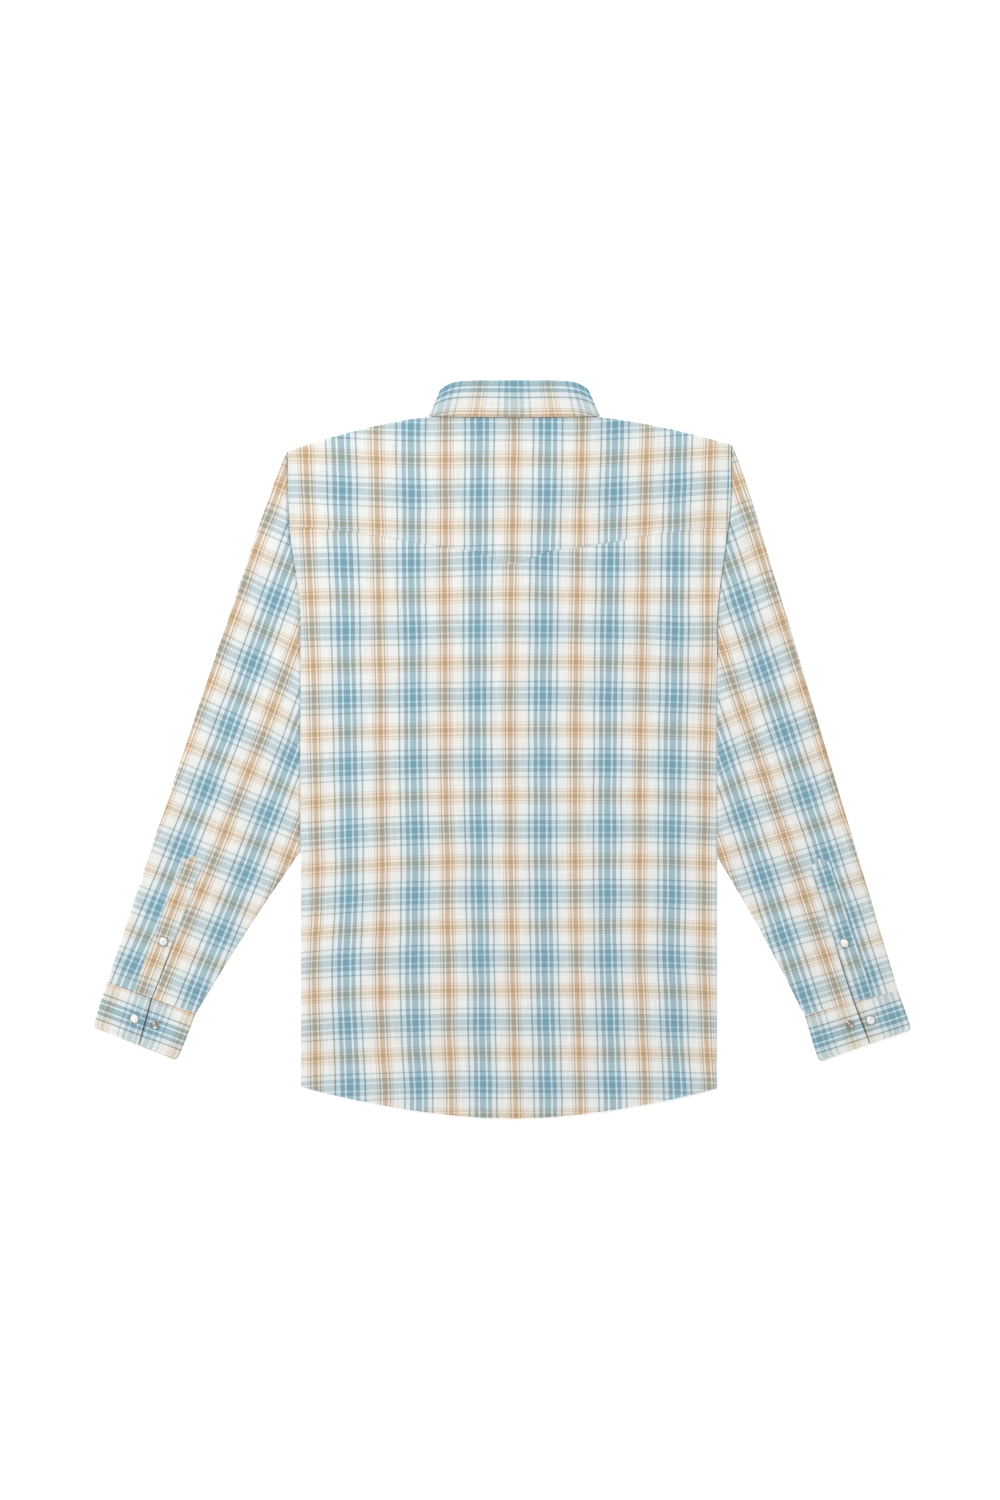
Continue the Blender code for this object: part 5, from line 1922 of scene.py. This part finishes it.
@dataclass(frozen=True)
class PlaidCotton:
    """Yarn-dyed plain-weave cotton shirting.

    Its stripes are dyed in the yarn, so where two cross, their colours mingle thread by thread.
    The eye gets soft-edged bars that deepen at each crossing, on a matt, faintly ribbed ground.
    """

    half_sett: tuple[Stripe, ...] = (
        Stripe(3.3, "6F9BAA", "7CA0AF"),    # half of the middle blue bar
        Stripe(2.1, "CDE5F4", "BADDE8"),    # white
        Stripe(4.3, "7A9CA8", "879FA9"),    # outer blue bar
        Stripe(4.7, "D7E2E9", "D1E2E7"),    # pale blue
        Stripe(1.6, "7A9294", "8F9CA2"),    # slate line
        Stripe(2.4, "DFE3E1", "E0E3E1"),    # dusted ground
        Stripe(8.6, "E7E7E4", "E7E7E4"),    # ground
        Stripe(0.9, "C6B8A3", "CBB69D"),    # faint line
        Stripe(2.0, "E5DACE", "E1D6C6"),    # pale cream
        Stripe(1.4, "AB9176", "BEA48C"),    # brown line
        Stripe(1.9, "EFDAC5", "ECDAC0"),    # cream
        Stripe(2.6, "B69A7A", "BDA27F"),    # half of the tan bar
    )
    warp_share: float = 0.6
    thread: float = 0.8         # about three real threads, because one is too fine to show
    weave_show: float = 0.16    # how much the thread on top outweighs the other
    slub_length: float = 38.0   # thick and thin places along a thread
    slub_width: float = 1.28
    slub: float = 0.05          # how much they darken or lighten it
    wander: float = 0.7         # how far a stripe strays from straight
    wander_length: float = 55.0
    eye: float = 2.2            # threads mingle by this power law, as their colours show through
    relief: float = 0.05
    rumple: float = 0.12        # height of the faint crumple that pressing leaves
    rumple_length: float = 16.0
    roughness: float = 0.85
    gloss: float = 0.25
    sheen: float = 0.12
    sheen_roughness: float = 0.5

    def colour_ramp(self, tree: Tree, position: Socket, yarn: str) -> Socket:
        """Colours of one yarn system, from a blue centre at 0 to a tan centre at 1.

        Args:
            tree: The material's node tree.
            position: Share of the way from the blue centre to the tan centre.
            yarn: Which colours: warp or weft.

        Returns:
            The colour.
        """
        node = add_node(tree, "ShaderNodeValToRGB", {"Fac": position})
        ramp = node.color_ramp
        ramp.interpolation = "CONSTANT"
        edges = np.cumsum([0.0, *(stripe.width for stripe in self.half_sett)])
        for stripe, edge in zip(self.half_sett, edges / edges[-1]):
            stop = ramp.elements[0] if edge == 0.0 else ramp.elements.new(edge)
            stop.color = linear(getattr(stripe, yarn))
        ramp.elements.remove(ramp.elements[-1])
        return node.outputs["Color"]

    def material(self) -> Finish:
        """Builds the shirting from its sett, threads and slubs."""
        material, tree, shader = new_material("yarn_dyed_plaid_cotton")

        def sums(operation: str, *values: object) -> Socket:
            """A sum on single values."""
            return flow(tree, "ShaderNodeMath", dict(enumerate(values)), operation=operation)

        def vectors(operation: str, *values: object) -> Socket:
            """The same on vectors."""
            return flow(tree, "ShaderNodeVectorMath", dict(enumerate(values)), operation=operation)

        def bump(strength: float, height: float, source: object, **under: object) -> Socket:
            """A relief this many millimetres high, on top of one that lies under it."""
            sockets = {"Strength": strength, "Distance": height * MM, "Height": source, **under}
            return flow(tree, "ShaderNodeBump", sockets)

        bolt = flow(tree, "ShaderNodeUVMap", uv_map=BOLT)
        stray = noise(tree, bolt, self.wander_length, 1.0).outputs["Color"]
        centred = vectors("SUBTRACT", stray, (0.5, 0.5, 0.5))
        strayed = vectors("MULTIPLY_ADD", centred, (2 * self.wander * MM,) * 3, bolt)
        split = add_node(tree, "ShaderNodeSeparateXYZ", {0: strayed}).outputs
        yarns = []
        for axis, yarn in ((0, "warp"), (1, "weft")):
            from_blue = sums("PINGPONG", split[axis], REPEAT / 2 * MM)
            dyed = self.colour_ramp(tree, sums("DIVIDE", from_blue, REPEAT / 2 * MM), yarn)
            colour = flow(tree, "ShaderNodeGamma", {"Color": dyed, "Gamma": 1.0 / self.eye})
            stretch = [1.0 / (self.slub_length * MM)] * 3
            stretch[axis] = 1.0 / (self.slub_width * MM)
            sockets = {"Vector": vectors("MULTIPLY", strayed, stretch), "Scale": 1.0, "Detail": 2.0}
            slub = flow(tree, "ShaderNodeTexNoise", sockets, noise_dimensions="2D")
            shade = ranged(tree, slub, 0.25, 0.75, 1.0 - self.slub, 1.0 + self.slub)
            sockets = {0: colour, "Scale": shade}
            yarns.append(flow(tree, "ShaderNodeVectorMath", sockets, operation="SCALE"))
        over_under = [
            sums("SINE", sums("MULTIPLY", split[axis], math.pi / (self.thread * MM))) for axis in (0, 1)
        ]
        weave = sums("MULTIPLY", *over_under)
        share = sums("MULTIPLY_ADD", weave, self.weave_show, 1.0 - self.warp_share)
        sockets = {"Factor": share, "A": yarns[0], "B": yarns[1]}
        cloth = add_node(tree, "ShaderNodeMix", sockets, data_type="VECTOR").outputs[1]
        crumple = noise(tree, bolt, self.rumple_length, 3.0).outputs[0]
        feed(tree, shader, {
            "Base Color": flow(tree, "ShaderNodeGamma", {"Color": cloth, "Gamma": self.eye}),
            "Normal": bump(1.0, self.rumple, crumple, Normal=bump(0.5, self.relief, weave)),
            "Roughness": self.roughness, "Specular IOR Level": self.gloss,
            "Sheen Weight": self.sheen, "Sheen Roughness": self.sheen_roughness,
        })
        return material


@dataclass(frozen=True)
class PearlResin:
    """Cast polyester resin with a pearl pigment, polished.

    The pigment lies in slow swirls, so the eye gets a glossy white whose depth turns from warm to
    cool across a snap.
    """

    warm: str = "FBF9F5"
    cool: str = "DCE3E6"
    swirl: float = 4.0          # size of a swirl
    stretch: tuple[float, float, float] = (1.0, 0.45, 1.0)
    roughness: float = 0.16
    coat: float = 0.6

    def material(self) -> Finish:
        """Builds the resin: two whites mixed by stretched, distorted noise."""
        material, tree, shader = new_material("polished_pearl_resin")
        place = add_node(tree, "ShaderNodeTexCoord").outputs["Object"]
        sockets = {0: place, 1: self.stretch}
        stretched = flow(tree, "ShaderNodeVectorMath", sockets, operation="MULTIPLY")
        swirl = noise(tree, stretched, self.swirl, 2.0, distortion=1.5).outputs[0]
        depth = ranged(tree, swirl, 0.35, 0.65, 0.0, 1.0)
        feed(tree, shader, {
            "Base Color": two_tone(tree, depth, self.warm, self.cool),
            "Roughness": self.roughness, "Coat Weight": self.coat,
        })
        return material


@dataclass(frozen=True)
class NickelPlate:
    """Pressed brass with bright nickel plate.

    The eye gets a pale grey metal, slightly warm, whose handling has left it a little dull.
    """

    colour: str = "D2CEC7"
    dull: str = "B9B3AB"
    grain: float = 0.8          # size of the dull spots
    roughness: Pair = (0.18, 0.34)

    def material(self) -> Finish:
        """Builds the plate: fine spots that are duller and darker."""
        material, tree, shader = new_material("nickel_plated_brass")
        place = add_node(tree, "ShaderNodeTexCoord").outputs["Object"]
        spots = noise(tree, place, self.grain, 3.0).outputs[0]
        feed(tree, shader, {
            "Base Color": two_tone(tree, spots, self.colour, self.dull),
            "Roughness": ranged(tree, spots, 0.3, 0.7, *self.roughness), "Metallic": 1.0,
        })
        return material


@dataclass(frozen=True)
class SewingThread:
    """Spun polyester sewing thread in natural white.

    Its plies twist, so the eye gets a pale, matt line with a faint slanting grain, whose darker bands are
    painted shade between the plies.
    """

    colour: str = "F1EEE8"
    # painted shade: stands in for the shade in the grooves between the twisted plies
    shaded: str = "CFCBC2"
    twist: float = 0.9          # length of a twist, about three real ones
    roughness: float = 0.7

    def material(self) -> Finish:
        """Builds the thread: its white and a painted shade of it, in slanting bands."""
        material, tree, shader = new_material("spun_polyester_thread")
        place = add_node(tree, "ShaderNodeTexCoord").outputs["Object"]
        sockets = {"Vector": place, "Scale": math.tau / 20.0 / (self.twist * MM), "Distortion": 1.0}
        waves = add_node(tree, "ShaderNodeTexWave", sockets, bands_direction="DIAGONAL")
        feed(tree, shader, {
            "Base Color": two_tone(tree, waves.outputs["Fac"], self.shaded, self.colour),
            "Roughness": self.roughness,
        })
        return material


# --- studio

@dataclass
class Studio:
    """A pale floor, soft overhead light and a camera that looks straight down."""

    nape: Nape
    view_centre: Pair = (-13.2, 366.3)      # x and down of the middle of the view
    view_height: float = 1650.0
    lens: float = 85.0
    sensor: float = 36.0
    far: float = 50.0
    floor_side: float = 40.0
    floor_level: float = -0.3
    floor_roughness: float = 0.95
    floor_colour: str = "F7F7F5"
    glow: float = 0.45          # light that comes through the table
    sky: float = 0.602
    lamp_place: tuple[float, float, float] = (-1.6, 1.9, 3.4)
    lamp_side: float = 2.2
    lamp_power: float = 108.8

    def floor(self) -> None:
        """A plain pale table, lit a little from below so that a flat garment hardly shades it."""
        half = self.floor_side / 2
        x, y = np.meshgrid([-half, half], [-half, half])
        material, tree, shader = new_material("lit_white_acrylic")
        feed(tree, shader, {
            "Base Color": linear(self.floor_colour), "Roughness": self.floor_roughness,
            "Emission Color": linear("FFFFFF"), "Emission Strength": self.glow,
        })
        mesh = new_mesh("floor", stacked(x, y, self.floor_level * MM), grid_faces(2, 2), material)
        new_object("floor", mesh)

    def lights(self) -> None:
        """An even pale sky and one large lamp towards the collar's side."""
        scene = bpy.context.scene
        world = bpy.data.worlds.new("studio")
        world.use_nodes = True
        scene.world = world
        background = world.node_tree.nodes["Background"]
        background.inputs["Color"].default_value = (1.0, 1.0, 1.0, 1.0)
        background.inputs["Strength"].default_value = self.sky
        data = bpy.data.lights.new("soft_box", "AREA")
        data.shape = "SQUARE"
        data.size = self.lamp_side
        data.energy = self.lamp_power
        lamp = bpy.data.objects.new("soft_box", data)
        scene.collection.objects.link(lamp)
        place = np.array(self.lamp_place)
        lamp.location = place
        toward = bpy.data.objects["floor"].matrix_world.translation - lamp.location
        lamp.rotation_euler = toward.to_track_quat("-Z", "Y").to_euler()

    def camera(self) -> None:
        """A camera straight above the shirt, with the collar at the top of its view."""
        scene = bpy.context.scene
        data = bpy.data.cameras.new("camera")
        data.lens = self.lens
        data.sensor_width = self.sensor
        data.clip_end = self.far
        item = bpy.data.objects.new("camera", data)
        scene.collection.objects.link(item)
        centre = self.nape.points(*(np.array(value) for value in self.view_centre), np.array(0.0))
        distance = self.view_height * MM * self.lens / self.sensor
        item.location = (centre[0], centre[1], distance)
        scene.camera = item
        scene.view_settings.view_transform = "Standard"

    def build(self) -> None:
        """Sets the floor, the lights and the camera."""
        self.floor()
        self.lights()
        self.camera()


def main() -> None:
    """Builds the studio, the shirt from the body outwards, its snaps and its stitches."""
    logging.basicConfig(level=logging.INFO, format="%(name)s %(message)s")
    nape = Nape.from_node("front_snap_1", x=2.5, down=112.0)
    Studio(nape).build()
    tailor = Tailor(nape, PlaidCotton().material())
    body = Body(tailor)
    body.build()
    arms = [Arm(tailor, body, side) for side in (LEFT, RIGHT)]
    for arm in arms:
        arm.build()
    collar = Collar(tailor, body)
    collar.build()
    Hardware(PearlResin().material(), NickelPlate().material()).build()
    stitcher = Stitcher(nape, SewingThread().material())
    back, front = body.seams()
    stitcher.sew("back_stitches", back)
    stitcher.sew("front_stitches", front)
    for arm in arms:
        stitcher.sew(f"{arm.side.name}_arm_stitches", arm.seams())
    stitcher.sew("collar_stitches", collar.seams())


if __name__ == "__main__":
    main()
